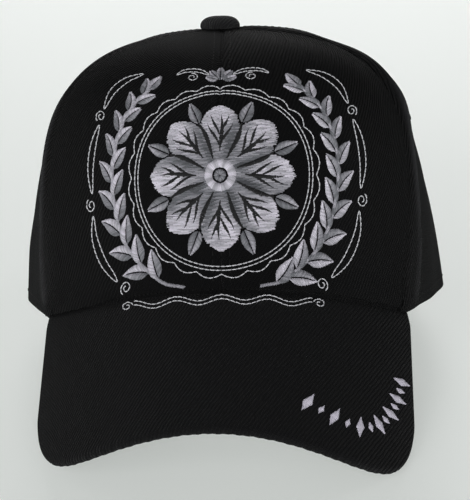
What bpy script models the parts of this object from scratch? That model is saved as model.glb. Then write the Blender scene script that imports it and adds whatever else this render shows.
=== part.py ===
"""Structured six-panel baseball cap with a curved visor, a covered button and a rear strap.

Metres, +Z up. The cap is drawn in its own frame, where the lower edge of the sides lies in the plane
z = 0, the visor points to -Y and the wearer's left is +X. That frame is an empty, tipped back so that
the cap stands as it does on a table: on the corners of its visor and on the strap at the rear.
"""

import functools
import math

import bmesh
import bpy
import numpy as np
from mathutils import Matrix, Vector

# The crown: reach of the lower edge, the body and the top from the middle, at five headings round it.
# A heading of 0 is the front, 90 the side and 180 the back.
RIB_HEADINGS = (0, 55, 90, 125, 180)
EDGE_REACH = (0.100, 0.092, 0.088, 0.092, 0.098)
BODY_REACH = (0.103, 0.092, 0.080, 0.087, 0.096)
TOP_REACH = (0.073, 0.085, 0.065, 0.071, 0.064)
CROWN_HEIGHT = 0.1120
BODY_HEIGHT = 0.79
TOP_SHIFT = (-0.0032, 0.004)
REAR_SWING = 0.003
SIDE_RISE = 0.0015
# The seams: headings at the lower edge, and at the button on the wearer's left and right.
SEAM_HEADINGS = (0, 47, 122, 180)
SEAM_HEADINGS_TOP_LEFT = (0, 60, 120, 180)
SEAM_HEADINGS_TOP_RIGHT = (0, 55, 120, 180)
SEAM_TURN = 0.50
SEAM_GAP = 0.0004
TOP_HOLE_RADIUS = 0.0038
# The layers of the crown, as depths below its outer face.
CLOTH = 0.0010
BACKING_DEPTH = 0.0016
BACKING = 0.0008
TAPE_DEPTH = 0.0036
TAPE = 0.0006
TAPE_WIDTH = 0.014
TAPE_TOP_RADIUS = 0.018
BAND_DEPTH = 0.0047
BAND = 0.0012
BAND_WIDTH = 0.033
BAND_RISE = 0.0018
# The visor, a sheet bent to an arch along a line that slopes down to the front.
VISOR_SLOPE = math.radians(36.0)
JOINT_RISE = 0.0163
VISOR_LENGTH = 0.0725
VISOR_HALF_WIDTH = 0.0888
VISOR_SIDE = -0.012
VISOR_SQUARENESS = 3.9
VISOR_FULLNESS = 0.153
VISOR_SKEW = 0.004
VISOR_CLOTH = 0.0009
VISOR_BOARD = 0.0018
VISOR_GAP = 0.0003
VISOR_EDGE_DROP = 0.0009
VISOR_EDGE = 0.005
JOINT_END_HEADING = 51
JOINT_GAP = 0.0005
JOINT_LAP = 0.004
# The button, the eyelets, the opening at the rear and the strap across it.
BUTTON_RADIUS = 0.0080
BUTTON_HEIGHT = 0.0050
BUTTON_LIFT = 0.0004
SHANK_RADIUS = 0.0022
WASHER_RADIUS = 0.0095
EYELET_RADIUS = 0.0042
EYELET_BORE = 0.0016
EYELET_RISE = 0.38
OPENING_RADIUS = 0.046
BINDING_RADIUS = 0.0013
STRAP_WIDTH = 0.020
STRAP_RISE = 0.0008
STRAP = 0.0011
STRAP_OUTER_DEPTH = 0.0017
STRAP_INNER_DEPTH = 0.0047
STRAP_REACH = 38.0
STRAP_LAP = 14.0

RIBS = np.radians(RIB_HEADINGS)
RISES = np.linspace(0.0, 1.0, 161)
WAVES = np.linalg.inv(np.cos(np.outer(RIBS, np.arange(len(RIBS)))))
SEAM_FRONT = math.radians(SEAM_HEADINGS[1])
JOINT_END = math.radians(JOINT_END_HEADING)
DOWN_SLOPE = Vector((0.0, -math.cos(VISOR_SLOPE), -math.sin(VISOR_SLOPE)))
OFF_SLOPE = Vector((0.0, -math.sin(VISOR_SLOPE), math.cos(VISOR_SLOPE)))


def reach(table, heading):
    """A reach read smoothly between the ribs, the same on the left and on the right."""
    waves = WAVES @ np.array(table)
    return sum(wave * math.cos(number * heading) for number, wave in enumerate(waves))


def edge_swing(heading):
    """The rim sits a little to the wearer's left, more so towards the back."""
    return REAR_SWING * (1.0 - math.cos(heading)) / 2


def edge_point(heading):
    """A point of the crown's lower edge, seen from above."""
    far = reach(EDGE_REACH, heading)
    return far * math.sin(heading) + edge_swing(heading), -far * math.cos(heading)


def arch_radius():
    """The radius of the visor's arch, which meets the crown's edge at the front and at both corners."""
    side, back = edge_point(JOINT_END)
    front = Vector((0.0, -EDGE_REACH[0], JOINT_RISE)).dot(OFF_SLOPE)
    sag = front - Vector((0.0, back, 0.0)).dot(OFF_SLOPE)
    return (side * side + sag * sag) / (2 * sag)


ARCH_RADIUS = arch_radius()
JOINT_FRONT = Vector((0.0, -EDGE_REACH[0], JOINT_RISE))
ARCH_TOP = JOINT_FRONT.dot(OFF_SLOPE)
SLOPE_START = JOINT_FRONT.dot(DOWN_SLOPE)


def joint_height(heading):
    """The height at which the visor's top face meets the crown."""
    side, back = edge_point(heading)
    off = ARCH_TOP - ARCH_RADIUS + math.sqrt(max(0.0, ARCH_RADIUS**2 - side * side))
    return (off - back * OFF_SLOPE.y) / OFF_SLOPE.z


def lower_edge(heading):
    """The height of the crown's lower edge: a little bowed at the sides, raised and lapped behind the visor."""
    part = abs(heading) / JOINT_END
    if part >= 1.0:
        return SIDE_RISE * math.sin(math.pi * (abs(heading) - JOINT_END) / (math.pi - JOINT_END))
    return joint_height(heading) - JOINT_LAP * (1.0 - part**6)


def crown_face(heading, rise):
    """A point of the crown's outer face, from rise 0 at the lower edge to 1 at the top."""
    heading = (heading + math.pi) % (2.0 * math.pi) - math.pi
    headings_top = SEAM_HEADINGS_TOP_LEFT if heading >= 0.0 else SEAM_HEADINGS_TOP_RIGHT
    turned = np.interp(abs(heading), np.radians(SEAM_HEADINGS), np.radians(headings_top))
    share = 1.0 - (1.0 - min(rise / SEAM_TURN, 1.0)) ** 2
    aim = heading + (math.copysign(turned, heading) - heading) * share
    left = 1.0 - rise
    spread = (left**3, 3 * left * left * rise, 3 * left * rise * rise)
    far = sum(part * reach(table, aim) for part, table in zip(spread, (EDGE_REACH, BODY_REACH, TOP_REACH)))
    height = spread[1] * BODY_HEIGHT + spread[2] + rise**3
    back = -far * math.cos(aim)
    swing = edge_swing(heading) * (1.0 - height)
    low = lower_edge(heading)
    side = far * math.sin(aim) + swing + TOP_SHIFT[0] * rise**8
    return Vector((side, back + TOP_SHIFT[1] * height, low + (CROWN_HEIGHT - low) * height))


def crown_normal(heading, rise):
    step = 1e-3
    low, high = max(rise - step, 0.0), min(rise + step, 1.0 - 1e-6)
    up = crown_face(heading, high) - crown_face(heading, low)
    along = crown_face(heading + step, rise) - crown_face(heading - step, rise)
    return along.cross(up).normalized()


def girth(heading, rise):
    """The distance round the crown for one radian of heading, for widths and gaps."""
    step = 1e-3
    return (crown_face(heading + step, rise) - crown_face(heading - step, rise)).length / (2 * step)


def crown_point(heading, rise, depth=0.0):
    return crown_face(heading, rise) - crown_normal(heading, rise) * depth


@functools.cache
def heights_up(heading):
    return [crown_face(heading, rise).z for rise in RISES]


def rise_at(heading, height):
    """The rise at which the crown's face stands at a given height."""
    return float(np.interp(height, heights_up(heading), RISES))


@functools.cache
def rise_near_top(heading, radius):
    """The rise at which the crown's face is a given distance from the middle of its top."""
    top = crown_face(0.0, 1.0)
    rises = RISES[len(RISES) // 2 :]
    radii = [(crown_face(heading, rise) - top).xy.length for rise in rises]
    return float(np.interp(-radius, [-one for one in radii], rises))


def material(name, colour, roughness):
    made = bpy.data.materials.new(name)
    made.use_nodes = True
    shader = made.node_tree.nodes["Principled BSDF"]
    shader.inputs["Base Color"].default_value = (*colour, 1.0)
    shader.inputs["Roughness"].default_value = roughness
    shader.inputs["Metallic"].default_value = 0.0
    return made


def add_object(name, mesh, skin, frame, smooth=40.0):
    made = bpy.data.objects.new(name, mesh)
    made.parent = frame
    bpy.data.collections["baseball_cap"].objects.link(made)
    if skin:
        mesh.materials.append(skin)
    mesh.shade_smooth()
    mesh.set_sharp_from_angle(angle=math.radians(smooth))
    return made


def sheet(name, columns, rows, place, thickness, skin, frame):
    """A sheet of cloth or board: a grid laid on a face by place(u, v), given a thickness inwards."""
    grid = bmesh.new()
    bmesh.ops.create_grid(grid, x_segments=columns, y_segments=rows, size=0.5)
    for point in grid.verts:
        point.co = place(point.co.x + 0.5, point.co.y + 0.5)
    mesh = bpy.data.meshes.new(name)
    grid.to_mesh(mesh)
    grid.free()
    made = add_object(name, mesh, skin, frame)
    thick = made.modifiers.new("thickness", "SOLIDIFY")
    thick.thickness = thickness
    thick.offset = -1.0
    return made


def cut(target, cutter):
    hole = target.modifiers.new("cut " + cutter.name, "BOOLEAN")
    hole.operation = "DIFFERENCE"
    hole.solver = "EXACT"
    hole.object = cutter


def add_cutter(name, radius, length, matrix, sides, frame):
    """A round bar that cuts a hole along its own Z axis."""
    bar = bmesh.new()
    bmesh.ops.create_cone(
        bar, cap_ends=True, segments=sides, radius1=radius, radius2=radius, depth=length
    )
    mesh = bpy.data.meshes.new(name)
    bar.to_mesh(mesh)
    bar.free()
    made = bpy.data.objects.new(name, mesh)
    made.parent = frame
    made.matrix_local = matrix
    made.display_type = "WIRE"
    made.hide_render = True
    bpy.data.collections["cutters"].objects.link(made)
    return made


def turned(name, profile, steps, skin, frame):
    """A turned shape about Z: the profile is a closed loop of (radius, height), or runs axis to axis."""
    mesh = bpy.data.meshes.new(name)
    points = [(radius, 0.0, height) for radius, height in profile]
    edges = [(index, index + 1) for index in range(len(points) - 1)]
    if profile[0][0] > 0.0:
        edges.append((len(points) - 1, 0))
    mesh.from_pydata(points, edges, [])
    made = add_object(name, mesh, skin, frame)
    spin = made.modifiers.new("spin", "SCREW")
    spin.steps = steps
    spin.render_steps = steps
    spin.use_merge_vertices = True
    spin.merge_threshold = 0.0001
    return made


def add_panels(skin, frame):
    """The six cloth panels. Each runs from one seam to the next and from the lower edge to the button."""
    panels = {}
    for place_name, (near, far) in zip(("front", "side", "back"), zip(SEAM_HEADINGS, SEAM_HEADINGS[1:])):
        for side_name, side in (("left", 1), ("right", -1)):
            ends = sorted((side * math.radians(near), side * math.radians(far)))

            def place(u, v, ends=ends):
                middle = ends[0] + (ends[1] - ends[0]) * u
                top = rise_near_top(middle, TOP_HOLE_RADIUS)
                rise = top * (1.0 - (1.0 - v) ** 1.15)
                inset = 0.5 * SEAM_GAP / girth(middle, rise)
                return crown_face(ends[0] + inset + (ends[1] - ends[0] - 2 * inset) * u, rise)

            name = f"{place_name}_panel_{side_name}"
            panels[name] = sheet(name, 10, 16, place, CLOTH, skin, frame)
    return panels


def add_backings(skin, frame):
    """Stiff buckram behind each front panel, a little smaller than the cloth."""
    for side_name, side in (("left", 1), ("right", -1)):
        ends = sorted((side * math.radians(1.0), side * (SEAM_FRONT - math.radians(1.5))))

        def place(u, v, ends=ends):
            heading = ends[0] + (ends[1] - ends[0]) * u
            top = rise_near_top(heading, 0.022)
            return crown_point(heading, 0.012 + (top - 0.012) * v, BACKING_DEPTH)

        sheet(f"front_backing_{side_name}", 9, 14, place, BACKING, skin, frame)


def add_tapes(skin, frame):
    """Binding tape over each seam inside the crown."""
    seams = {"tape_front": 0.0, "tape_rear": 180.0}
    for side_name, side in (("left", 1), ("right", -1)):
        seams[f"tape_front_{side_name}"] = side * SEAM_HEADINGS[1]
        seams[f"tape_side_{side_name}"] = side * SEAM_HEADINGS[2]
    for name, degrees in seams.items():
        seam = math.radians(degrees)
        low = rise_at(seam, OPENING_RADIUS + 0.004) if name == "tape_rear" else 0.02

        def place(u, v, seam=seam, low=low):
            top = rise_near_top(seam, TAPE_TOP_RADIUS)
            rise = low + (top - low) * v
            return crown_point(seam + (u - 0.5) * TAPE_WIDTH / girth(seam, rise), rise, TAPE_DEPTH)

        sheet(name, 2, 14, place, TAPE, skin, frame)


def add_sweatband(skin, frame):
    """The band inside the rim, from one side of the rear opening round the front to the other."""
    end = math.pi - math.asin((OPENING_RADIUS + 0.003) / EDGE_REACH[-1])

    def place(u, v):
        heading = end * (2.0 * u - 1.0)
        low = lower_edge(heading) + BAND_RISE
        return crown_point(heading, rise_at(heading, low + BAND_WIDTH * v), BAND_DEPTH)

    sheet("sweatband", 56, 3, place, BAND, skin, frame)


def visor_point(angle, along, depth):
    """A point of the bent visor: angle round the arch, along the slope, depth below the top face."""
    radius = ARCH_RADIUS - depth
    off = ARCH_TOP - ARCH_RADIUS + radius * math.cos(angle)
    flat = OFF_SLOPE * off + DOWN_SLOPE * (SLOPE_START + along)
    return Vector((radius * math.sin(angle), flat.y, flat.z))


@functools.cache
def joint_wall(depth):
    """The crown's face along the joint, seen from above, at the height of one layer of the visor."""
    headings = np.linspace(-JOINT_END * 1.15, JOINT_END * 1.15, 81)
    points = [crown_face(h, rise_at(h, joint_height(h) - depth / OFF_SLOPE.z)) for h in headings]
    return [point.x for point in points], [point.y for point in points]


def joint_along(angle, depth):
    """Where a layer of the visor starts: just clear of the crown's face."""
    start = visor_point(angle, 0.0, depth)
    sides, backs = joint_wall(depth)
    wall = float(np.interp(start.x, sides, backs)) - JOINT_GAP
    return (wall - start.y) / DOWN_SLOPE.y


def visor_front(across):
    """How far the front edge lies from the joint at a distance across, on the flat."""
    part = min(abs(across) / VISOR_HALF_WIDTH, 1.0)
    length = VISOR_LENGTH * (1.0 + VISOR_FULLNESS * part * part)
    return VISOR_SIDE + (length - VISOR_SIDE) * (1.0 - part**VISOR_SQUARENESS) ** (1.0 / VISOR_SQUARENESS)


def visor_skew(across):
    """How much further forward the front edge sits on one side than on the other."""
    return VISOR_SKEW * across / VISOR_HALF_WIDTH


def visor_layer(name, depth, edge_drop, inset, thickness, skin, frame):
    """One layer of the visor: a grid between the joint and the outer edge, laid on its lower face."""

    def place(u, v):
        half = VISOR_HALF_WIDTH - inset
        across = half * math.sin((2.0 * u - 1.0) * math.radians(84.0))
        front = visor_front(across * VISOR_HALF_WIDTH / half) - inset
        angle = across / ARCH_RADIUS
        corner = math.asin(edge_point(JOINT_END)[0] / ARCH_RADIUS) * ARCH_RADIUS
        joint = joint_along(math.copysign(min(abs(across), corner) / ARCH_RADIUS, across), depth)
        past = max(abs(across) - corner, 0.0) / max(half - corner, 1e-4)
        back = joint + (VISOR_SIDE - joint) * past + inset * 0.2
        share = 1.0 - (1.0 - v) ** 1.6
        along = back + (front - back) * share
        edge = min(front - along, half - abs(across) + 0.001 * abs(across) / half)
        drop = edge_drop * (1.0 - min(max(edge, 0.0) / VISOR_EDGE, 1.0)) ** 2
        return visor_point(angle, along + visor_skew(across) * share, depth + drop)

    sheet(name, 26, 9, place, thickness, skin, frame)


def add_visor(cloth, board, frame):
    low = VISOR_CLOTH
    visor_layer("visor_top_cloth", low, VISOR_EDGE_DROP, 0.0, VISOR_CLOTH, cloth, frame)
    low += VISOR_GAP + VISOR_BOARD
    visor_layer("visor_board", low, 0.0, VISOR_EDGE, VISOR_BOARD, board, frame)
    low += VISOR_GAP + VISOR_CLOTH
    visor_layer("visor_under_cloth", low, -VISOR_EDGE_DROP, 0.0, VISOR_CLOTH, cloth, frame)


def add_button(cloth, metal, frame):
    """The covered button, its shank through the hole in the top, and the washer inside."""
    top = crown_face(0.0, 1.0)
    dome = [(0.0, BUTTON_HEIGHT)]
    for step in range(1, 7):
        turn = math.radians(15.0 * step)
        dome.append((BUTTON_RADIUS * math.sin(turn) ** 0.55, 0.0022 + (BUTTON_HEIGHT - 0.0022) * math.cos(turn)))
    dome += [(BUTTON_RADIUS, 0.0004), (BUTTON_RADIUS * 0.96, 0.0), (SHANK_RADIUS, 0.0)]
    dome += [(SHANK_RADIUS, -0.0032), (0.0, -0.0032)]
    button = turned("crown_button", dome, 28, cloth, frame)
    button.location = top + Vector((0.0, 0.0, BUTTON_LIFT))
    washer = [(0.0, 0.0006), (WASHER_RADIUS * 0.8, 0.0006), (WASHER_RADIUS, 0.0), (WASHER_RADIUS * 0.8, -0.0007)]
    washer.append((0.0, -0.0009))
    disc = turned("button_washer", washer, 24, metal, frame)
    disc.location = top - Vector((0.0, 0.0, 0.0038))


def add_eyelets(panels, thread, frame):
    """A stitched eyelet through each side and back panel."""
    outer, inner = 0.0005, -CLOTH - 0.0008
    rim = 0.0006
    profile = [
        (EYELET_BORE, outer + rim * 0.6),
        (EYELET_BORE + 0.0006, outer + rim),
        (EYELET_RADIUS - 0.0004, outer + rim * 0.8),
        (EYELET_RADIUS, outer),
        (EYELET_BORE + 0.0008, outer),
        (EYELET_BORE + 0.0008, inner),
        (EYELET_RADIUS - 0.0006, inner),
        (EYELET_RADIUS - 0.0010, inner - rim * 0.8),
        (EYELET_BORE, inner - rim * 0.6),
    ]
    for place_name, (near, far) in zip(("side", "back"), zip(SEAM_HEADINGS[1:], SEAM_HEADINGS[2:])):
        for side_name, side in (("left", 1), ("right", -1)):
            heading = side * math.radians((near + far) / 2)
            turn = crown_normal(heading, EYELET_RISE).to_track_quat("Z", "Y").to_matrix().to_4x4()
            matrix = Matrix.Translation(crown_face(heading, EYELET_RISE)) @ turn
            name = f"{place_name}_{side_name}"
            eyelet = turned(f"eyelet_{name}", profile, 16, thread, frame)
            eyelet.matrix_local = matrix
            cutter = add_cutter(f"hole_{name}", EYELET_BORE + 0.0012, 0.012, matrix, 16, frame)
            cut(panels[f"{place_name}_panel_{side_name}"], cutter)


def opening_point(turn, radius, depth):
    """A point of the crown's face on a circle seen from behind, round the middle of the rear edge."""
    side = radius * math.sin(turn)
    height = radius * math.cos(turn)
    heading = math.pi
    for _ in range(6):
        rise = rise_at(heading, height)
        heading += (crown_face(heading, rise).x - REAR_SWING - side) / EDGE_REACH[-1]
    return crown_point(heading, rise_at(heading, height), depth)


def add_opening(panels, binding, frame):
    """The half-moon opening cut from the back panels, and the binding that lines its edge."""
    upright = Matrix.Rotation(math.pi / 2, 4, "X")
    place = Matrix.Translation((REAR_SWING, EDGE_REACH[-1], 0.0)) @ upright
    cutter = add_cutter("opening_cutter", OPENING_RADIUS, 0.08, place, 64, frame)
    for side_name in ("left", "right"):
        cut(panels[f"back_panel_{side_name}"], cutter)
    line = bpy.data.curves.new("opening_binding", "CURVE")
    line.dimensions = "3D"
    path = line.splines.new("POLY")
    turns = np.radians(np.linspace(-86.0, 86.0, 33))
    path.points.add(len(turns) - 1)
    for point, turn in zip(path.points, turns):
        radius = OPENING_RADIUS - BINDING_RADIUS - 0.0004
        point.co = (*opening_point(turn, radius, 0.4 * CLOTH), 1.0)
    line.bevel_depth = BINDING_RADIUS
    line.bevel_resolution = 2
    line.use_fill_caps = True
    line.materials.append(binding)
    made = bpy.data.objects.new("opening_binding", line)
    made.parent = frame
    bpy.data.collections["baseball_cap"].objects.link(made)


def add_strap(webbing, fuzz, frame):
    """The two halves of the strap and the hook-and-loop faces where they overlap."""

    def strip(name, ends, depth, low, width, thickness, columns, skin):
        def place(u, v):
            turn = ends[1] + (ends[0] - ends[1]) * u
            heading = math.pi - math.radians(turn)
            level = low + width * v
            return crown_point(heading, rise_at(heading, level), depth(turn))

        sheet(name, columns, 1, place, thickness, skin, frame)

    def inner_depth(turn):
        part = min(max((-turn - STRAP_LAP) / (0.5 * (STRAP_REACH - STRAP_LAP)), 0.0), 1.0)
        share = part * part * (3.0 - 2.0 * part)
        return STRAP_INNER_DEPTH + (STRAP_OUTER_DEPTH - STRAP_INNER_DEPTH) * share

    strip(
        "strap_outer", (-STRAP_LAP, STRAP_REACH), lambda turn: STRAP_OUTER_DEPTH,
        STRAP_RISE, STRAP_WIDTH, STRAP, 18, webbing,
    )
    strip(
        "strap_inner", (-STRAP_REACH, STRAP_LAP), inner_depth,
        STRAP_RISE, STRAP_WIDTH, STRAP, 22, webbing,
    )
    patch = STRAP_LAP - 1.5
    low, width = STRAP_RISE + 0.0015, STRAP_WIDTH - 0.003
    depth = STRAP_OUTER_DEPTH + STRAP + 0.0003
    strip("strap_loop_patch", (-patch, patch), lambda turn: depth, low, width, 0.0004, 10, fuzz)
    strip("strap_hook_patch", (-patch, patch), lambda turn: depth + 0.0007, low, width, 0.0004, 10, fuzz)


def resting_turn():
    """How far the cap tips back to stand on its visor corners and on the lower edge of the strap."""
    corners = []
    for degrees in range(-84, 85, 2):
        across = VISOR_HALF_WIDTH * math.sin(math.radians(degrees))
        along = visor_front(across)
        depth = VISOR_CLOTH + VISOR_EDGE_DROP
        corners.append(visor_point(across / ARCH_RADIUS, along + visor_skew(across), 2 * depth))
    rear = crown_point(math.pi, rise_at(math.pi, STRAP_RISE), STRAP_OUTER_DEPTH)
    low, high = 0.0, math.radians(30.0)
    for _ in range(40):
        turn = 0.5 * (low + high)
        tip = Matrix.Rotation(-turn, 4, "X")
        if min((tip @ point).z for point in corners) < (tip @ rear).z:
            low = turn
        else:
            high = turn
    return turn


def stand_on_ground(frame):
    """Moves the frame so that the box round the whole cap is centred over the origin, with its base at 0."""
    bpy.context.view_layer.update()
    graph = bpy.context.evaluated_depsgraph_get()
    points = []
    for made in bpy.data.collections["baseball_cap"].objects:
        if made.type == "EMPTY":
            continue
        solid = made.evaluated_get(graph)
        mesh = solid.to_mesh()
        points += [solid.matrix_world @ point.co for point in mesh.vertices]
        solid.to_mesh_clear()
    box = np.array(points)
    low, high = box.min(axis=0), box.max(axis=0)
    middle = (low + high) / 2
    frame.location = (-middle[0], -middle[1], -low[2])


def build():
    for old in list(bpy.data.objects):
        bpy.data.objects.remove(old, do_unlink=True)
    for name in ("baseball_cap", "cutters"):
        bpy.context.scene.collection.children.link(bpy.data.collections.new(name))
    bpy.data.collections["cutters"].hide_render = True

    frame = bpy.data.objects.new("cap_frame", None)
    bpy.data.collections["baseball_cap"].objects.link(frame)
    frame.rotation_euler.x = -resting_turn()

    twill = material("black_twill", (0.009, 0.009, 0.010), 0.85)
    buckram = material("black_buckram", (0.012, 0.012, 0.013), 0.90)
    band = material("black_cotton", (0.011, 0.011, 0.012), 0.88)
    tape = material("black_tape", (0.013, 0.013, 0.014), 0.80)
    thread = material("black_thread", (0.014, 0.014, 0.016), 0.60)
    board = material("visor_board", (0.62, 0.62, 0.60), 0.50)
    metal = material("washer_metal", (0.05, 0.05, 0.05), 0.45)
    fuzz = material("hook_and_loop", (0.010, 0.010, 0.011), 0.95)

    panels = add_panels(twill, frame)
    add_backings(buckram, frame)
    add_tapes(tape, frame)
    add_sweatband(band, frame)
    add_visor(twill, board, frame)
    add_button(twill, metal, frame)
    add_eyelets(panels, thread, frame)
    add_opening(panels, tape, frame)
    add_strap(twill, fuzz, frame)
    stand_on_ground(frame)


build()
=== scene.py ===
"""A structured six-panel cap: the finish of every piece, modelled round the solids of the frame.

Metres. The cap is drawn in its own frame, where the lower edge of its sides lies in the plane z = 0, the
visor points to -Y and the wearer's left is +X. Every point is then carried to where the cap stands.
"""

import functools
import math

import bmesh
import bpy
import numpy as np
from mathutils import Matrix, Vector


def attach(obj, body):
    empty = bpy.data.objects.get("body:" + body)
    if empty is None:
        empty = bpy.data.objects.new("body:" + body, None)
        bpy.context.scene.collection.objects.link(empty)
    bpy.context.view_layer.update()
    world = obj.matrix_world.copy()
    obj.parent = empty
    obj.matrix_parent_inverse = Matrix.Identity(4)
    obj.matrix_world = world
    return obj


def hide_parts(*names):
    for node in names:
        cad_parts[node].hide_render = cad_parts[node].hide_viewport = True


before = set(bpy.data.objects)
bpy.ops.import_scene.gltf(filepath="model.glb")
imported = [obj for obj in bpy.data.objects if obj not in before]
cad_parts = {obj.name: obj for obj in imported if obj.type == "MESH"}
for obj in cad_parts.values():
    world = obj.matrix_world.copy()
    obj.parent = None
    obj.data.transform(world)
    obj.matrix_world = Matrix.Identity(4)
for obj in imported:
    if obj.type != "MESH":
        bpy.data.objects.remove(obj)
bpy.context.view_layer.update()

MM = 0.001

# The crown, as in the solids: how far out its edge, body and top lie at five headings, in degrees.
RIB_HEADINGS = (0, 55, 90, 125, 180)
EDGE_REACH = (0.100, 0.092, 0.088, 0.092, 0.098)
BODY_REACH = (0.103, 0.092, 0.080, 0.087, 0.096)
TOP_REACH = (0.073, 0.085, 0.065, 0.071, 0.064)
CROWN_HEIGHT = 0.1120
BODY_HEIGHT = 0.79
TOP_SHIFT = (-0.0032, 0.004)
REAR_SWING = 0.003
SIDE_RISE = 0.0015
# Where the seams start, and where they lie from the rise SEAM_TURN on: on the wearer's left, then the right.
SEAM_HEADINGS = (0, 47, 122, 180)
SEAM_HEADINGS_TOP = ((0, 60, 120, 180), (0, 55, 120, 180))
SEAM_TURN = 0.50
# The cloth meets closer in its seams than the solids do.
SEAM_GAP = 0.00008
TOP_HOLE_RADIUS = 0.0038
# The layers of the crown: how deep they lie under the outer face, how thick they are and where they end.
CLOTH = 0.0010
BACKING_DEPTH = 0.0016
BACKING = 0.0008
BACKING_FOOT = 0.012
BACKING_TOP_RADIUS = 0.022
TAPE_DEPTH = 0.0036
TAPE = 0.0006
TAPE_WIDTH = 0.014
TAPE_FOOT = 0.02
TAPE_TOP_RADIUS = 0.018
BAND_DEPTH = 0.0047
BAND = 0.0012
BAND_WIDTH = 0.033
BAND_RISE = 0.0018
# The visor, as in the solids.
VISOR_SLOPE = math.radians(36.0)
JOINT_RISE = 0.0163
VISOR_LENGTH = 0.0725
VISOR_HALF_WIDTH = 0.0888
VISOR_SIDE = -0.012
VISOR_SQUARENESS = 3.9
VISOR_FULLNESS = 0.153
VISOR_SKEW = 0.004
VISOR_CLOTH = 0.0009
VISOR_BOARD = 0.0018
VISOR_GAP = 0.0003
VISOR_WHOLE = 2 * (VISOR_CLOTH + VISOR_GAP) + VISOR_BOARD
VISOR_SPREAD = math.radians(84.0)
JOINT_END_HEADING = 51
JOINT_GAP = 0.0005
JOINT_LAP = 0.004
# The visor's cloth: how deep it rolls and tucks in, and how near the edge or the joint that begins.
EDGE_ROLL = 0.00205
INNER_ROLL = 0.0012
ROLL_REACH = 0.0024
CORNER_TUCK = 0.0024
JOINT_TUCK = 0.0012
JOINT_TUCK_REACH = 0.0022
# The button, the eyelets, the opening and the strap, as in the solids; the strap's reach and lap in degrees.
BUTTON_RADIUS = 0.0080
BUTTON_HEIGHT = 0.0054
BUTTON_BROW = 0.0016
BUTTON_LIFT = 0.0004
SHANK_RADIUS = 0.0022
SHANK_DEPTH = 0.0032
EYELET_BORE = 0.0016
EYELET_RISE = 0.38
OPENING_RADIUS = 0.046
STRAP_WIDTH = 0.020
STRAP_RISE = 0.0008
STRAP = 0.0011
STRAP_OUTER_DEPTH = 0.0017
STRAP_INNER_DEPTH = 0.0047
STRAP_REACH = 38.0
STRAP_LAP = 14.0
# How the cap stands: tipped back about X, on its visor corners and its strap.
CAP_TURN = math.radians(-12.522585)
CAP_PLACE = (-0.0015517, 0.0287867, 0.0200809)
# The view: angles in the cap's own frame, the point looked at and the distance.
VIEW_RAISE = math.radians(8.0)
VIEW_SWING = math.radians(2.6)
VIEW_ROLL = math.radians(-1.45)
VIEW_TARGET = (0.0012, -0.0065, 0.0189)
VIEW_DISTANCE = 1.1
VIEW_LENS = 186.3
# How the cloth departs from the solids' plain face: hollows and swellings by the seams, and soft folds.
SEAM_HOLLOW = 0.00036
ROW_HOLLOW = 0.00012
ALLOWANCE_SWELL = 0.00026
WIDE_FOLD = 0.0008
NARROW_FOLD = 0.0005
STIFF_WAVE = 0.00018
LEFT_CREST = 0.0012
SIDE_PUFF = 0.0024
SIDE_RIDGE = 0.0014
RIDGE_HOLLOW = 0.0010
LEFT_PRESS = 0.0012
RIGHT_PRESS = 0.0010
# The front's lower edge folds out over the visor, and the crown's edge hangs lower by the visor's corners.
JOINT_LIP = 0.0015
CORNER_DROP = 0.0019
# Thread: widths, lengths of stitches, how far apart they lie and how proud they stand.
INNER_THREAD = 0.0004
SEAM_THREAD = 0.00042
SATIN_PITCH = 0.00042
SATIN_WIDTH = 0.00050
SATIN_HEIGHT = 0.00026
SATIN_BASE = 0.00030
SHORTEST_SATIN = 0.0007
RIB_HALF_GAP = 0.00022
FILL_PITCH = 0.00040
FILL_STITCH = 0.0034
FILL_WIDTH = 0.00046
FILL_HEIGHT = 0.00024
FILL_LIFT = 0.00008
SHORTEST_FILL = 0.0006
LINE_LIFT = 0.00045
OUTLINE_WIDTH = 0.00046
OUTLINE_STITCH = 0.0021
SEAM_STITCH = 0.0028
SEAM_FLOAT = 0.00045
# Rows of stitches: how far they lie from seams, from edges and from the opening.
ROW_FROM_SEAM = 0.0033
SEAM_ROW_FOOT = 0.04
RIM_ROW = 0.0045
BAND_ROWS = (0.0025, BAND_WIDTH - 0.0022)
STRAP_ROWS = (0.0018, STRAP_WIDTH - 0.0018)
OPENING_ROWS = (0.0009, 0.0044)
MARGIN = 0.003
WIDE_MARGIN = 0.004
STRAND_SECTION = ((-1.0, 0.0), (-0.72, 0.68), (0.0, 1.0), (0.72, 0.68), (1.0, 0.0))
# The twill: distance from rib to rib, the lean of the ribs, and the threads along a rib.
RIB_PITCH = 0.00137
RIB_LEAN = math.radians(61.0)
THREAD_PITCH = 0.00075

RIBS = np.radians(RIB_HEADINGS)
WAVES = np.linalg.inv(np.cos(np.outer(RIBS, np.arange(len(RIBS)))))
SEAM_FRONT = math.radians(SEAM_HEADINGS[1])
JOINT_END = math.radians(JOINT_END_HEADING)
SEAMS = [0.0, math.pi]
SEAMS += [side * math.radians(degrees) for degrees in SEAM_HEADINGS[1:3] for side in (1, -1)]
DOWN_SLOPE = np.array((0.0, -math.cos(VISOR_SLOPE), -math.sin(VISOR_SLOPE)))
OFF_SLOPE = np.array((0.0, -math.sin(VISOR_SLOPE), math.cos(VISOR_SLOPE)))
STANDING = Matrix.Translation(CAP_PLACE) @ Matrix.Rotation(CAP_TURN, 4, "X")
chance = np.random.default_rng(7)


# The crown's form

def reach(table, heading):
    """How far out a table's outline lies at a heading."""
    waves = WAVES @ np.array(table)
    return sum(wave * np.cos(number * heading) for number, wave in enumerate(waves))


def wrapped(angle):
    return (angle + np.pi) % (2.0 * np.pi) - np.pi


def smooth_step(value, low, high):
    part = np.clip((value - low) / (high - low), 0.0, 1.0)
    return part * part * (3.0 - 2.0 * part)


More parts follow.
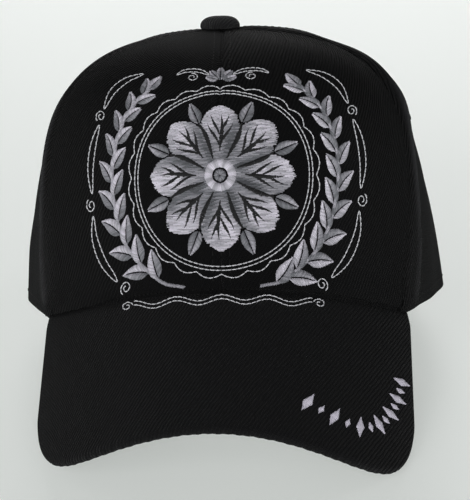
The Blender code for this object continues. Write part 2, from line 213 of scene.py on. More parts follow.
def unit(vectors):
    return vectors / np.maximum(np.linalg.norm(vectors, axis=-1, keepdims=True), 1e-12)


def run_lengths(points):
    """Distance run along the second last axis, from 0 at its first point."""
    steps = np.linalg.norm(np.diff(points, axis=-2), axis=-1)
    return np.concatenate([np.zeros(steps.shape[:-1] + (1,)), np.cumsum(steps, axis=-1)], axis=-1)


def edge_swing(heading):
    """How far the lower edge swings to the wearer's left towards the rear."""
    return REAR_SWING * (1.0 - np.cos(heading)) / 2


def edge_point(heading):
    far = reach(EDGE_REACH, heading)
    return far * np.sin(heading) + edge_swing(heading), -far * np.cos(heading)


JOINT_FRONT = np.array((0.0, -EDGE_REACH[0], JOINT_RISE))
ARCH_TOP = JOINT_FRONT @ OFF_SLOPE
SLOPE_START = JOINT_FRONT @ DOWN_SLOPE


def arch_radius():
    """Radius of the visor's arch, which passes the crown's front and meets its edge at the joint's ends."""
    side, back = edge_point(JOINT_END)
    sag = ARCH_TOP - back * OFF_SLOPE[1]
    return (side * side + sag * sag) / (2 * sag)


ARCH_RADIUS = arch_radius()


def joint_height(heading):
    """Height at which the visor's arch meets the crown's edge."""
    side, back = edge_point(heading)
    off = ARCH_TOP - ARCH_RADIUS + np.sqrt(np.maximum(0.0, ARCH_RADIUS**2 - side * side))
    return (off - back * OFF_SLOPE[1]) / OFF_SLOPE[2]


def lower_edge(heading):
    """Height of the crown's edge. Over the visor it laps past the joint; elsewhere it bows up a little."""
    part = np.abs(heading) / JOINT_END
    bow = SIDE_RISE * np.sin(np.pi * (np.abs(heading) - JOINT_END) / (np.pi - JOINT_END))
    lap = JOINT_LAP * (1.0 - np.minimum(part, 1.0) ** 6)
    corner = np.where(heading < 0.0, CORNER_DROP, 0.3 * CORNER_DROP)
    drop = corner * np.exp(-(((np.abs(heading) - JOINT_END) / 0.10) ** 2))
    return np.where(part >= 1.0, bow, joint_height(heading) - lap) - drop


def crown_face(heading, rise):
    """Points of the plain outer face, from rise 0 at the lower edge to 1 at the top."""
    heading, rise = np.broadcast_arrays(np.asarray(heading, float), np.asarray(rise, float))
    heading = wrapped(heading)
    seams = np.radians(SEAM_HEADINGS)
    on_left, on_right = (np.interp(np.abs(heading), seams, np.radians(top)) for top in SEAM_HEADINGS_TOP)
    at_top = np.where(heading >= 0.0, on_left, on_right)
    share = 1.0 - (1.0 - np.minimum(rise / SEAM_TURN, 1.0)) ** 2
    aim = heading + (np.copysign(at_top, heading) - heading) * share
    fall = 1.0 - rise
    spread = (fall**3, 3 * fall * fall * rise, 3 * fall * rise * rise)
    far = sum(part * reach(table, aim) for part, table in zip(spread, (EDGE_REACH, BODY_REACH, TOP_REACH)))
    height = spread[1] * BODY_HEIGHT + spread[2] + rise**3
    low = lower_edge(heading)
    side = far * np.sin(aim) + edge_swing(heading) * (1.0 - height) + TOP_SHIFT[0] * rise**8
    back = -far * np.cos(aim) + TOP_SHIFT[1] * height
    return np.stack([side, back, low + (CROWN_HEIGHT - low) * height], axis=-1)


def crown_normal(heading, rise):
    step = 1e-3
    low, high = np.maximum(rise - step, 0.0), np.minimum(rise + step, 1.0 - 1e-6)
    up = crown_face(heading, high) - crown_face(heading, low)
    along = crown_face(heading + step, rise) - crown_face(heading - step, rise)
    return unit(np.cross(along, up))


def girth(heading, rise):
    """Distance along the face for each radian of heading."""
    step = 1e-3
    across = crown_face(heading + step, rise) - crown_face(heading - step, rise)
    return np.linalg.norm(across, axis=-1) / (2 * step)


def crown_point(heading, rise, depth):
    return crown_face(heading, rise) - crown_normal(heading, rise) * np.asarray(depth)[..., None]


def find_rise(heading, wanted, measure, low):
    """The rise at which a measure of the face reaches a wanted value, by halving."""
    heading, wanted = np.broadcast_arrays(np.asarray(heading, float), np.asarray(wanted, float))
    low, high = np.full(heading.shape, low), np.ones(heading.shape)
    for _ in range(24):
        middle = (low + high) / 2
        under = measure(crown_face(heading, middle)) < wanted
        low, high = np.where(under, middle, low), np.where(under, high, middle)
    return (low + high) / 2


def rise_at(heading, height):
    return find_rise(heading, height, lambda spot: spot[..., 2], 0.0)


def rise_near_top(heading, radius):
    """The rise at which the face comes within a radius of the crown's top, seen from above."""
    top = crown_face(0.0, 1.0)

    def nearness(spot):
        return -np.hypot(spot[..., 0] - top[0], spot[..., 1] - top[1])

    return find_rise(heading, -radius, nearness, 0.5)


def joint_lip(heading, rise):
    """How far the front's lower edge folds out over the visor, and how far that fold hangs down."""
    above = crown_face(heading, rise)[..., 2] - joint_height(np.clip(heading, -JOINT_END, JOINT_END))
    out = JOINT_LIP * smooth_step(above, 0.0001, 0.0006) * (1.0 - smooth_step(above, 0.0020, 0.0120))
    out = out * (1.0 + smooth_step(-heading, 0.42, 0.66)) * (np.abs(heading) < JOINT_END)
    slack = 0.72 * smooth_step(-heading, 0.34, 0.56) + 0.5 * smooth_step(heading, 0.46, 0.62)
    return out, out * slack * (1.0 - smooth_step(heading, 0.76, 0.86))


def past_front_seam(heading, rise):
    return (np.abs(heading) - SEAM_FRONT) * girth(heading, rise)


def ridge_share(heading, rise):
    """The soft ridge of the side panels behind the front seams, from 0 to 1."""
    past_seam = past_front_seam(heading, rise)
    place = 0.0062 + 0.0075 * (1.0 - smooth_step(rise, 0.04, 0.26))
    ridge = np.exp(-(((past_seam - place) / 0.0026) ** 2)) * (1.0 - smooth_step(rise, 0.40, 0.62))
    return ridge * smooth_step(rise, 0.0, 0.03)


def ridge_painted_light(heading, rise):
    """Painted light on a side panel: above 0.5 a painted highlight along its ridge, below 0.5 painted shade
    in the hollow by its front seam.
    """
    hollow = np.exp(-((past_front_seam(heading, rise) / 0.0030) ** 2)) * (1.0 - smooth_step(rise, 0.6, 0.8))
    return np.clip(0.5 + 0.5 * ridge_share(heading, rise) ** 1.5 - 0.45 * hollow, 0.0, 1.0)


def relief(heading, rise):
    """How far the cloth stands out from the plain face: seams, the allowances under them, soft folds."""
    heading = wrapped(heading)
    round_once = girth(heading, rise)
    out = np.zeros(np.shape(heading))
    for seam in SEAMS:
        away = np.abs(wrapped(heading - seam)) * round_once
        out = out - SEAM_HOLLOW * np.exp(-((away / 0.0008) ** 2))
        out = out - ROW_HOLLOW * np.exp(-(((away - ROW_FROM_SEAM) / 0.0007) ** 2))
        swell = ALLOWANCE_SWELL * smooth_step(away, 0.0, 0.0018)
        out = out + swell * (1.0 - smooth_step(away, 0.0050, 0.0095))
    soft = smooth_step(np.abs(heading), SEAM_FRONT, SEAM_FRONT + 0.25)
    near_edge = (1.0 - smooth_step(rise, 0.05, 0.75)) * soft
    below_top = 1.0 - smooth_step(rise, 0.8, 0.95)
    folds = WIDE_FOLD * np.sin(9.0 * heading + 2.0 * rise + 0.6)
    folds = folds + NARROW_FOLD * np.sin(17.0 * heading - 5.0 * rise)
    stiff = STIFF_WAVE * np.sin(7.0 * heading + 6.0 * rise) * np.sin(9.0 * rise + 2.0 * heading + 1.0)
    behind = (heading - SEAM_FRONT) * round_once
    puff = SIDE_PUFF * smooth_step(behind, 0.0, 0.007) * (1.0 - smooth_step(heading, 1.6, 2.05))
    puff = puff * smooth_step(rise, 0.30, 0.47) * (1.0 - smooth_step(rise, 0.55, 0.82))
    crest = LEFT_CREST * smooth_step(behind, 0.0, 0.006) * (1.0 - smooth_step(heading, 1.9, 2.5))
    puff = puff + crest * smooth_step(rise, 0.70, 0.84) * (1.0 - smooth_step(rise, 0.93, 0.985))
    past_seam = past_front_seam(heading, rise)
    dip = np.exp(-((past_seam / 0.0036) ** 2)) * smooth_step(past_seam, 0.0, 0.0018)
    dip = RIDGE_HOLLOW * dip * below_top
    puff = puff + SIDE_RIDGE * ridge_share(heading, rise) - dip * smooth_step(rise, 0.0, 0.03)
    left, right = (smooth_step(side * heading, 0.9, 1.3) for side in (1.0, -1.0))
    left = left * (1.0 - smooth_step(heading, 2.0, 2.6))
    right = right * (1.0 - smooth_step(-heading, 2.0, 2.6))
    pressed = LEFT_PRESS * left + RIGHT_PRESS * right * smooth_step(rise, 0.08, 0.17)
    pressed = pressed * (1.0 - smooth_step(rise, 0.28, 0.42))
    return out + folds * near_edge + stiff * below_top + puff + joint_lip(heading, rise)[0] - pressed


def cloth_spot(heading, rise, lift):
    """Points on the cloth as it lies, with the directions out of it."""
    out = crown_normal(heading, rise)
    spots = crown_face(heading, rise) + out * (relief(heading, rise) + lift)[..., None]
    spots[..., 2] -= joint_lip(heading, rise)[1]
    return spots, out


# The visor's form

def visor_point(angle, along, depth):
    radius = ARCH_RADIUS - depth
    off = ARCH_TOP - ARCH_RADIUS + radius * np.cos(angle)
    spot = OFF_SLOPE * off[..., None] + DOWN_SLOPE * (SLOPE_START + along)[..., None]
    spot[..., 0] = radius * np.sin(angle)
    return spot


def visor_normal(angle):
    out = OFF_SLOPE * np.cos(angle)[..., None]
    out[..., 0] = np.sin(angle)
    return out


@functools.cache
def joint_wall(depth):
    headings = np.linspace(-JOINT_END * 1.15, JOINT_END * 1.15, 81)
    wall = crown_face(headings, rise_at(headings, joint_height(headings) - depth / OFF_SLOPE[2]))
    return wall[:, 0], wall[:, 1]


def joint_along(angle, depth):
    """How far down the slope the visor starts, clear of the crown."""
    start = visor_point(angle, np.zeros(np.shape(angle)), depth)
    sides, backs = joint_wall(depth)
    return (np.interp(start[..., 0], sides, backs) - JOINT_GAP - start[..., 1]) / DOWN_SLOPE[1]


def visor_front(across):
    """The visor's edge as a distance down the slope."""
    part = np.minimum(np.abs(across) / VISOR_HALF_WIDTH, 1.0)
    length = VISOR_LENGTH * (1.0 + VISOR_FULLNESS * part * part)
    return VISOR_SIDE + (length - VISOR_SIDE) * (1.0 - part**VISOR_SQUARENESS) ** (1.0 / VISOR_SQUARENESS)


def visor_skew(across):
    return VISOR_SKEW * across / VISOR_HALF_WIDTH


# Making pieces

def stand(points):
    """Points of the cap's own frame carried to where it stands."""
    turn = np.array(STANDING.to_3x3())
    return np.asarray(points) @ turn.T + np.array(CAP_PLACE)


def along_line(spots, run, line):
    """The points of a line at distances along it; the run holds the distance at each of its points."""
    return np.stack([np.interp(spots, run, line[:, axis]) for axis in range(line.shape[1])], -1)


def square_to(ways):
    """Flat directions a quarter turn to the left of the given ones."""
    return np.stack([-ways[..., 1], ways[..., 0]], -1)


def settle(piece, nodes=()):
    """Puts a piece under the root body and hides the solids that it takes the place of."""
    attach(piece, "root")
    if nodes:
        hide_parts(*nodes)
    return piece


def keep_solid(node, skin):
    """Gives a solid that stays a material of its own."""
    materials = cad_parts[node].data.materials
    materials.clear()
    materials.append(skin)


def make_piece(name, points, faces, places, skin, tones=None, sharp=None):
    """A mesh piece with its flat places in metres as UVs, and a tone for each point where it has one."""
    mesh = bpy.data.meshes.new(name)
    mesh.from_pydata(stand(points).tolist(), [], faces if isinstance(faces, list) else faces.tolist())
    corners = np.empty(len(mesh.loops), np.int32)
    mesh.loops.foreach_get("vertex_index", corners)
    layer = mesh.uv_layers.new(name="cloth_places")
    layer.uv.foreach_set("vector", np.asarray(places, np.float32)[corners].ravel())
    if tones is not None:
        held = mesh.attributes.new("tone", "FLOAT", "POINT").data
        held.foreach_set("value", np.asarray(tones, np.float32))
    mesh.materials.append(skin)
    mesh.shade_smooth()
    if sharp:
        mesh.set_sharp_from_angle(angle=math.radians(sharp))
    piece = bpy.data.objects.new(name, mesh)
    bpy.context.scene.collection.objects.link(piece)
    return piece


def sheet_faces(rows, columns):
    """Faces of a closed sheet: its outer grid, its inner grid and the rim between them."""
    count = rows * columns
    index = np.arange(count).reshape(rows, columns)
    outer = np.stack([index[:-1, :-1], index[:-1, 1:], index[1:, 1:], index[1:, :-1]], -1).reshape(-1, 4)
    rim = np.concatenate([index[0], index[1:, -1], index[-1, -2::-1], index[-2:0:-1, 0]])
    after = np.roll(rim, -1)
    wall = np.stack([after, rim, rim + count, after + count], -1)
    return np.concatenate([outer, outer[:, ::-1] + count, wall])


def rounded(distance, radius):
    """The share of an edge's roll at a distance from it: 1 at the edge, 0 from the radius on."""
    return 1.0 - np.sqrt(1.0 - np.clip(1.0 - distance / radius, 0.0, 1.0) ** 2)


def closed_sheet(name, outer, inner, places, skin, sharp=60.0, tones=None):
    rows, columns = outer.shape[:2]
    points = np.concatenate([outer.reshape(-1, 3), inner.reshape(-1, 3)])
    flat = np.concatenate([places.reshape(-1, 2)] * 2)
    tones = None if tones is None else np.concatenate([tones.ravel()] * 2)
    return make_piece(name, points, sheet_faces(rows, columns), flat, skin, tones, sharp)


def crown_layer(name, headings, rises, depth, thickness, skin, roll, follow=False, cant=0.0):
    """A sheet laid on the crown's face at a depth, with softly rolled edges and flat places.

    One that follows the outer cloth takes its relief and tones of painted highlight and painted shade.
    The cant turns the grain from the sheet's middle line towards one of its sides.
    """
    plain = crown_face(headings, rises)
    across = run_lengths(plain)
    up = run_lengths(plain.swapaxes(0, 1)).T
    edge = np.minimum(np.minimum(across, across[:, -1:] - across), np.minimum(up, up[-1:] - up))
    turn = rounded(edge, 2.0 * roll) * roll
    lie = depth - relief(headings, rises) if follow else depth + np.zeros(headings.shape)
    outer = crown_point(headings, rises, lie + turn)
    inner = crown_point(headings, rises, lie + thickness - np.minimum(turn, 0.45 * thickness))
    tones = None
    if follow:
        sag = joint_lip(headings, rises)[1]
        outer[..., 2] -= sag
        inner[..., 2] -= sag
        # Tones of painted light: a painted highlight on the side panels' ridges, painted shade by their
        # front seams.
        tones = ridge_painted_light(headings, rises)
    whole = across[:, -1:]
    grain = across - whole / 2 + cant * (whole - whole[:1]) / 2
    places = np.stack([grain, up + plain[:1, :, 2]], -1)
    return closed_sheet(name, outer, inner, places, skin, tones=tones)


def bored(piece, cutters):
    """Cuts round holes through a piece. A cutter is a matrix in the cap's frame, a radius and its sides."""
    bars = []
    for matrix, radius, sides in cutters:
        bar = bmesh.new()
        bmesh.ops.create_cone(bar, cap_ends=True, segments=sides, radius1=radius, radius2=radius, depth=0.08)
        mesh = bpy.data.meshes.new("bar")
        bar.to_mesh(mesh)
        bar.free()
        tool = bpy.data.objects.new("bar", mesh)
        tool.matrix_world = STANDING @ matrix
        bpy.context.scene.collection.objects.link(tool)
        hole = piece.modifiers.new("hole", "BOOLEAN")
        hole.operation = "DIFFERENCE"
        hole.solver = "EXACT"
        hole.object = tool
        bars.append(tool)
    bpy.context.view_layer.update()
    graph = bpy.context.evaluated_depsgraph_get()
    made = bpy.data.meshes.new_from_object(piece.evaluated_get(graph))
    piece.modifiers.clear()
    piece.data = made
    for tool in bars:
        bpy.data.objects.remove(tool, do_unlink=True)
    return piece


def strands(points, normals, width, height, tone):
    """Half-round strands: points and normals by strand and step, and the rest for each of them."""
    shape = points.shape[:2]
    width, height, tone = (np.broadcast_to(np.asarray(one, float), shape) for one in (width, height, tone))
    side = unit(np.cross(unit(np.gradient(points, axis=1)), normals))
    section = np.array(STRAND_SECTION)
    spots = points[:, :, None] + side[:, :, None] * (width[..., None] / 2 * section[:, 0])[..., None]
    spots = spots + normals[:, :, None] * (height[..., None] * section[:, 1])[..., None]
    count, steps, parts = shape[0], shape[1], len(section)
    index = np.arange(count * steps * parts).reshape(count, steps, parts)
    corners = (index[:, :-1, :-1], index[:, 1:, :-1], index[:, 1:, 1:], index[:, :-1, 1:])
    faces = np.stack(corners, -1).reshape(-1, 4)
    along = run_lengths(points) + chance.uniform(0.0, 1.0, (count, 1))
    places = np.stack(np.broadcast_arrays(np.arange(parts) / (parts - 1), along[..., None]), -1)
    tones = np.broadcast_to(tone[..., None], spots.shape[:3])
    return spots.reshape(-1, 3), faces, places.reshape(-1, 2), tones.reshape(-1)


def joined(name, parts, skin, nodes=(), sharp=None):
    """One settled piece from several sets of points, faces, places and tones."""
    start, faces = 0, []
    for points, part_faces, _, _ in parts:
        faces.append(part_faces + start)
        start += len(points)
    points, places, tones = (np.concatenate([part[number] for part in parts]) for number in (0, 2, 3))
    return settle(make_piece(name, points, np.concatenate(faces), places, skin, tones, sharp), nodes)


def stitches(points, normals, length, width, gap=0.0005, tone=0.5, sink=0.00030, steps=5):
    """A row of running stitches along a line: each rises from the cloth and goes back into it."""
    run = run_lengths(points)
    count = max(1, int(round(run[-1] / (length + gap))))
    pitch = run[-1] / count
    starts = pitch * np.arange(count)[:, None] + 0.5 * gap
    share = np.linspace(0.0, 1.0, steps)
    spots = starts + (pitch - gap) * share
    lie = along_line(spots, run, points)
    out = unit(along_line(spots, run, normals))
    arch = np.sin(np.pi * share) ** 0.5
    lie = lie + out * (-sink + (sink + 0.25 * width) * arch)[:, None]
    jitter = chance.normal(0.0, 0.05, (count, 1))
    return strands(lie, out, width * (0.72 + 0.28 * arch), 0.55 * width, tone + jitter)


def swept(points, normals, section):
    """A closed section carried along a line, with capped ends. The section is in side and out distances."""
    side = unit(np.cross(unit(np.gradient(points, axis=0)), normals))
    section = np.asarray(section)
    spots = points[:, None] + side[:, None] * section[:, 0, None] + normals[:, None] * section[:, 1, None]
    steps, parts = spots.shape[:2]
    index = np.arange(steps * parts).reshape(steps, parts)
    turned = np.roll(index, -1, axis=1)
    faces = np.stack([index[:-1], index[1:], turned[1:], turned[:-1]], -1).reshape(-1, 4)
    middle = (parts - 1) // 2
    caps = []
    for row, flip in ((index[0], False), (index[-1], True)):
        for number in range(middle):
            quad = [row[number], row[number + 1], row[parts - 2 - number], row[parts - 1 - number]]
            caps.append(quad[::-1] if flip else quad)
    round_run = run_lengths(np.concatenate([section, section[:1]]))[:-1]
    places = np.stack(np.broadcast_arrays(round_run[None], run_lengths(points)[:, None]), -1)
    faces = np.concatenate([faces, np.array(caps)])
    return spots.reshape(-1, 3), faces, places.reshape(-1, 2), np.full(steps * parts, 0.5)


def revolved(profile, steps, wobble):
    """A turned body about Z from a profile of (radius, height) that runs from axis to axis."""
    angles = 2.0 * np.pi * np.arange(steps) / steps
    rings = np.array(profile[1:-1])
    radius = np.broadcast_to(rings[:, 0, None], (len(rings), steps))
    height = np.broadcast_to(rings[:, 1, None], (len(rings), steps))
    radius, height = wobble(radius, height, angles)
    spots = np.stack([radius * np.cos(angles), radius * np.sin(angles), height], -1).reshape(-1, 3)
    index = np.arange(len(rings) * steps).reshape(len(rings), steps)
    turned = np.roll(index, -1, axis=1)
    faces = np.stack([index[:-1], index[1:], turned[1:], turned[:-1]], -1).reshape(-1, 4).tolist()
    first, last = len(spots), len(spots) + 1
    faces += [[first, index[0, number], turned[0, number]] for number in range(steps)]
    faces += [[last, turned[-1, number], index[-1, number]] for number in range(steps)]
    ends = np.array([(0.0, 0.0, profile[0][1]), (0.0, 0.0, profile[-1][1])])
    return np.concatenate([spots, ends]), faces


# Materials

class Wiring:
    """Places nodes in one tree and joins them. A value is a number, a vector or another node's output."""

    def __init__(self, tree):
        self.tree = tree

    def join(self, value, socket):
        if isinstance(value, bpy.types.NodeSocket):
            self.tree.links.new(value, socket)
        else:
            socket.default_value = value

    def node(self, kind, settings=(), **inputs):
        made = self.tree.nodes.new(kind)
        for key, value in dict(settings).items():
            setattr(made, key, value)
        for label, value in inputs.items():
            self.join(value, made.inputs[label.replace("_", " ")])
        return made

    def maths(self, operation, *values):
        made = self.node("ShaderNodeMath", {"operation": operation})
        for value, socket in zip(values, made.inputs):
            self.join(value, socket)
        return made.outputs[0]

    def wave(self, value):
        """A smooth wave from 0 to 1, one for each unit of the value."""
        turned = self.maths("COSINE", self.maths("MULTIPLY", value, 2.0 * math.pi))
        return self.maths("MULTIPLY_ADD", turned, 0.5, 0.5)

    def between(self, value, low, high, soft=True):
        made = self.node("ShaderNodeMapRange", {"interpolation_type": "SMOOTHSTEP" if soft else "LINEAR"})
        for value_in, socket in zip((value, low, high), made.inputs):
            self.join(value_in, socket)
        return made.outputs[0]

    def noise(self, vector, scale, detail=3.0, roughness=0.5):
        inputs = {"Vector": vector, "Scale": scale, "Detail": detail, "Roughness": roughness}
        return self.node("ShaderNodeTexNoise", **inputs).outputs["Fac"]

    def blend(self, share, first, second, kind="MIX"):
        made = self.node("ShaderNodeMix", {"data_type": "RGBA", "blend_type": kind})
        for number, value in ((0, share), (6, first), (7, second)):
            self.join(value, made.inputs[number])
        return made.outputs[2]

    def group(self, shared, **inputs):
        made = self.node("ShaderNodeGroup", {"node_tree": shared}, **inputs)
        return made.outputs


def new_group(name, inputs, outputs):
    shared = bpy.data.node_groups.new(name, "ShaderNodeTree")
    for label, kind, value in inputs:
        socket = shared.interface.new_socket(label, in_out="INPUT", socket_type=kind)
        if value is not None:
            socket.default_value = value
    for label in outputs:
        shared.interface.new_socket(label, in_out="OUTPUT", socket_type="NodeSocketFloat")
    wiring = Wiring(shared)
    given = wiring.node("NodeGroupInput").outputs
    return shared, wiring, given, wiring.node("NodeGroupOutput").inputs


FLOAT, VECTOR = "NodeSocketFloat", "NodeSocketVector"


def twill_weave():
    """Diagonal ribs, each a row of slanted thread floats, a little uneven."""
    inputs = (("Places", VECTOR, None), ("Rib Pitch", FLOAT, RIB_PITCH), ("Rib Lean", FLOAT, RIB_LEAN))
    inputs += (("Thread Pitch", FLOAT, THREAD_PITCH),)
    shared, wiring, given, made = new_group("Twill weave", inputs, ("Height", "Rib", "Slub"))
    uneven = wiring.noise(given["Places"], 220.0, 2.0)
    drift = wiring.maths("MULTIPLY", wiring.maths("SUBTRACT", uneven, 0.5), 0.0009)
    parts = wiring.node("ShaderNodeSeparateXYZ", Vector=given["Places"]).outputs
    across, up = wiring.maths("ADD", parts["X"], drift), parts["Y"]
    lean_side = wiring.maths("COSINE", given["Rib Lean"])
    lean_up = wiring.maths("SINE", given["Rib Lean"])
    up_side, across_up = wiring.maths("MULTIPLY", up, lean_side), wiring.maths("MULTIPLY", across, lean_up)
    number = wiring.maths("DIVIDE", wiring.maths("SUBTRACT", up_side, across_up), given["Rib Pitch"])
    rib = wiring.maths("POWER", wiring.wave(number), 0.75)
    across_side, up_up = wiring.maths("MULTIPLY", across, lean_side), wiring.maths("MULTIPLY", up, lean_up)
    along = wiring.maths("ADD", across_side, up_up)
    step = wiring.maths("MULTIPLY", number, 0.5)
    thread = wiring.maths("DIVIDE", along, given["Thread Pitch"])
    float_wave = wiring.wave(wiring.maths("ADD", thread, step))
    body = wiring.maths("MULTIPLY_ADD", float_wave, 0.32, 0.68)
    wiring.join(wiring.maths("MULTIPLY", rib, body), made["Height"])
    wiring.join(rib, made["Rib"])
    stretched = wiring.node("ShaderNodeMapping", Vector=given["Places"], Scale=(900.0, 60.0, 1.0))
    wiring.join(wiring.noise(stretched.outputs[0], 1.0, 2.0), made["Slub"])
    return shared


def plain_weave():
    """Threads over and under each other at right angles."""
    inputs = (("Places", VECTOR, None), ("Thread Pitch", FLOAT, 0.0008))
    shared, wiring, given, made = new_group("Plain weave", inputs, ("Height", "Slub"))
    parts = wiring.node("ShaderNodeSeparateXYZ", Vector=given["Places"]).outputs
    across = wiring.maths("DIVIDE", parts["X"], given["Thread Pitch"])
    up = wiring.maths("DIVIDE", parts["Y"], given["Thread Pitch"])
    square = wiring.maths("ADD", wiring.maths("FLOOR", across), wiring.maths("FLOOR", up))
    over = wiring.maths("PINGPONG", square, 1.0)
    first, second = wiring.wave(wiring.maths("ADD", across, 0.5)), wiring.wave(wiring.maths("ADD", up, 0.5))
    lying = wiring.maths("MULTIPLY", over, wiring.maths("MULTIPLY_ADD", first, 0.6, 0.4))
    rest = wiring.maths("SUBTRACT", 1.0, over)
    standing = wiring.maths("MULTIPLY", rest, wiring.maths("MULTIPLY_ADD", second, 0.6, 0.4))
    wiring.join(wiring.maths("ADD", lying, standing), made["Height"])
    wiring.join(wiring.noise(given["Places"], 700.0, 2.0), made["Slub"])
    return shared


def thread_twist():
    """The plies of a sewing thread, wound round it, with a slow change along it."""
    inputs = (("Places", VECTOR, None), ("Twist", FLOAT, 0.0006))
    shared, wiring, given, made = new_group("Thread twist", inputs, ("Height", "Change"))
    parts = wiring.node("ShaderNodeSeparateXYZ", Vector=given["Places"]).outputs
    run = wiring.maths("DIVIDE", parts["Y"], given["Twist"])
    ply = wiring.wave(wiring.maths("ADD", run, wiring.maths("MULTIPLY", parts["X"], 0.8)))
    wiring.join(ply, made["Height"])
    wiring.join(wiring.noise(given["Places"], 90.0, 2.0), made["Change"])
    return shared


def cloth_use():
    """What wear and handling leave: soft light patches, and a few specks of lint."""
    inputs = (("Places", VECTOR, None), ("Speck Size", FLOAT, 0.028))
    shared, wiring, given, made = new_group("Cloth use", inputs, ("Patches", "Lint"))
    wiring.join(wiring.noise(given["Places"], 38.0, 4.0, 0.6), made["Patches"])
    dots = wiring.node("ShaderNodeTexVoronoi", {"feature": "F1"}, Vector=given["Places"], Scale=95.0)
    close = wiring.between(dots.outputs["Distance"], given["Speck Size"], 0.0)
    rare = wiring.between(dots.outputs["Color"], 0.60, 0.62)
    wiring.join(wiring.maths("MULTIPLY", close, rare), made["Lint"])
    return shared


TWILL, PLAIN, TWIST, USE = twill_weave(), plain_weave(), thread_twist(), cloth_use()


def new_skin(name, **fixed):
    """A material with its constants on the shader's own sockets."""
    skin = bpy.data.materials.new(name)
    skin.use_nodes = True
    wiring = Wiring(skin.node_tree)
    shader = skin.node_tree.nodes["Principled BSDF"]
    for label, value in fixed.items():
        shader.inputs[label.replace("_", " ")].default_value = value
    return skin, wiring, shader


def cloth_places(wiring):
    return wiring.node("ShaderNodeUVMap", {"uv_map": "cloth_places"}).outputs["UV"]


def object_places(wiring):
    return wiring.node("ShaderNodeTexCoord").outputs["Object"]


def bumped(wiring, shader, height, distance):
    bump = wiring.node("ShaderNodeBump", Height=height, Distance=distance, Strength=1.0)
    wiring.join(bump.outputs["Normal"], shader.inputs["Normal"])


def grey(value, blue=1.06):
    return (value, value, value * blue, 1.0)


def twill_skin(name, shade, pitch=RIB_PITCH, painted_ridge_light=False):
    """Black twill. The shade is a painted light level that makes all of its reflection lighter or darker, so
    one cloth comes as lit and shaded copies; one with painted ridge light also has painted highlight and
    shade tones.
    """
    dark, light = 0.0055 * shade, 0.0067 * shade
    fixed = {"Sheen_Weight": 0.016 * shade, "Sheen_Roughness": 0.3, "Specular_IOR_Level": 0.06 * shade}
    skin, wiring, shader = new_skin(name, **fixed)
    places = cloth_places(wiring)
    weave = wiring.group(TWILL, Places=places, Rib_Pitch=pitch)
    use = wiring.group(USE, Places=places)
    # Rib tops are painted lighter and the grooves darker: painted shade in the grooves between the ribs,
    # made uneven by the slubs.
    lit = wiring.maths("MULTIPLY", weave["Height"], wiring.maths("MULTIPLY_ADD", weave["Slub"], 0.8, 0.6))
    colour = wiring.blend(lit, grey(dark), grey(light))
    colour = wiring.blend(wiring.maths("MULTIPLY", use["Patches"], 0.35), colour, grey(light * 1.25))
    if painted_ridge_light:
        # Painted highlight on a side panel's ridge where its tone is over 0.5, painted shade by its front
        # seam where it is under.
        tone = wiring.node("ShaderNodeAttribute", {"attribute_name": "tone"}).outputs["Fac"]
        colour = wiring.blend(wiring.between(tone, 0.5, 1.0, False), colour, grey(light * 5.0))
        colour = wiring.blend(wiring.between(tone, 0.5, 0.0, False), colour, grey(dark * 0.25))
    colour = wiring.blend(wiring.maths("MULTIPLY", use["Lint"], 0.5), colour, grey(0.20, 1.0))
    wiring.join(colour, shader.inputs["Base Color"])
    rough = wiring.maths("MULTIPLY_ADD", weave["Slub"], -0.14, 0.97)
    wiring.join(rough, shader.inputs["Roughness"])
    bumped(wiring, shader, weave["Height"], 0.0009)
    return skin


def woven_skin(name, dark, light, pitch, rough=0.9):
    fixed = {"Sheen_Weight": 0.05, "Sheen_Roughness": 0.5, "Specular_IOR_Level": 0.15}
    skin, wiring, shader = new_skin(name, **fixed)
    places = cloth_places(wiring)
    weave = wiring.group(PLAIN, Places=places, Thread_Pitch=pitch)
    use = wiring.group(USE, Places=places)
    # Threads on top are painted lighter and those under them darker: painted shade between the threads.
    colour = wiring.blend(weave["Height"], grey(dark), grey(light))
    colour = wiring.blend(wiring.maths("MULTIPLY", use["Patches"], 0.4), colour, grey(light * 1.3))
    wiring.join(colour, shader.inputs["Base Color"])
    wiring.join(wiring.maths("MULTIPLY_ADD", weave["Slub"], -0.2, rough + 0.05), shader.inputs["Roughness"])
    bumped(wiring, shader, weave["Height"], 0.3 * pitch)
    return skin


def thread_skin(name, shades, rough, sheen, gloss=0.6):
    """Thread whose colour runs through shades by the tone of each strand."""
    fixed = {"Sheen_Weight": sheen, "Sheen_Roughness": 0.35, "Specular_IOR_Level": gloss}
    skin, wiring, shader = new_skin(name, **fixed)
    places = cloth_places(wiring)
    twist = wiring.group(TWIST, Places=places)
    tone = wiring.node("ShaderNodeAttribute", {"attribute_name": "tone"}).outputs["Fac"]
    ramp = wiring.node("ShaderNodeValToRGB", Fac=tone)
    points = ramp.color_ramp.elements
    while len(points) < len(shades):
        points.new(0.5)
    for point, (place, shade) in zip(points, shades):
        point.position = place
        point.color = shade
    # The grooves between the plies are painted darker, painted shade; the slow change along the thread is
    # the thread's own.
    hollow = wiring.maths("MULTIPLY_ADD", twist["Height"], 0.3, 0.7)
    change = wiring.maths("MULTIPLY_ADD", twist["Change"], 0.3, 0.85)
    dim = wiring.maths("MULTIPLY", hollow, change)
    wiring.join(wiring.blend(1.0, ramp.outputs["Color"], dim, "MULTIPLY"), shader.inputs["Base Color"])
    wiring.join(wiring.maths("MULTIPLY_ADD", twist["Change"], 0.2, rough - 0.1), shader.inputs["Roughness"])
    bumped(wiring, shader, twist["Height"], 0.00006)
    return skin


def board_skin():
    skin, wiring, shader = new_skin("visor_board")
    grain = wiring.noise(object_places(wiring), 900.0, 4.0)
    colour = wiring.blend(grain, (0.55, 0.55, 0.53, 1.0), (0.68, 0.68, 0.66, 1.0))
    wiring.join(colour, shader.inputs["Base Color"])
    wiring.join(wiring.maths("MULTIPLY_ADD", grain, 0.2, 0.4), shader.inputs["Roughness"])
    bumped(wiring, shader, grain, 0.0001)
    return skin


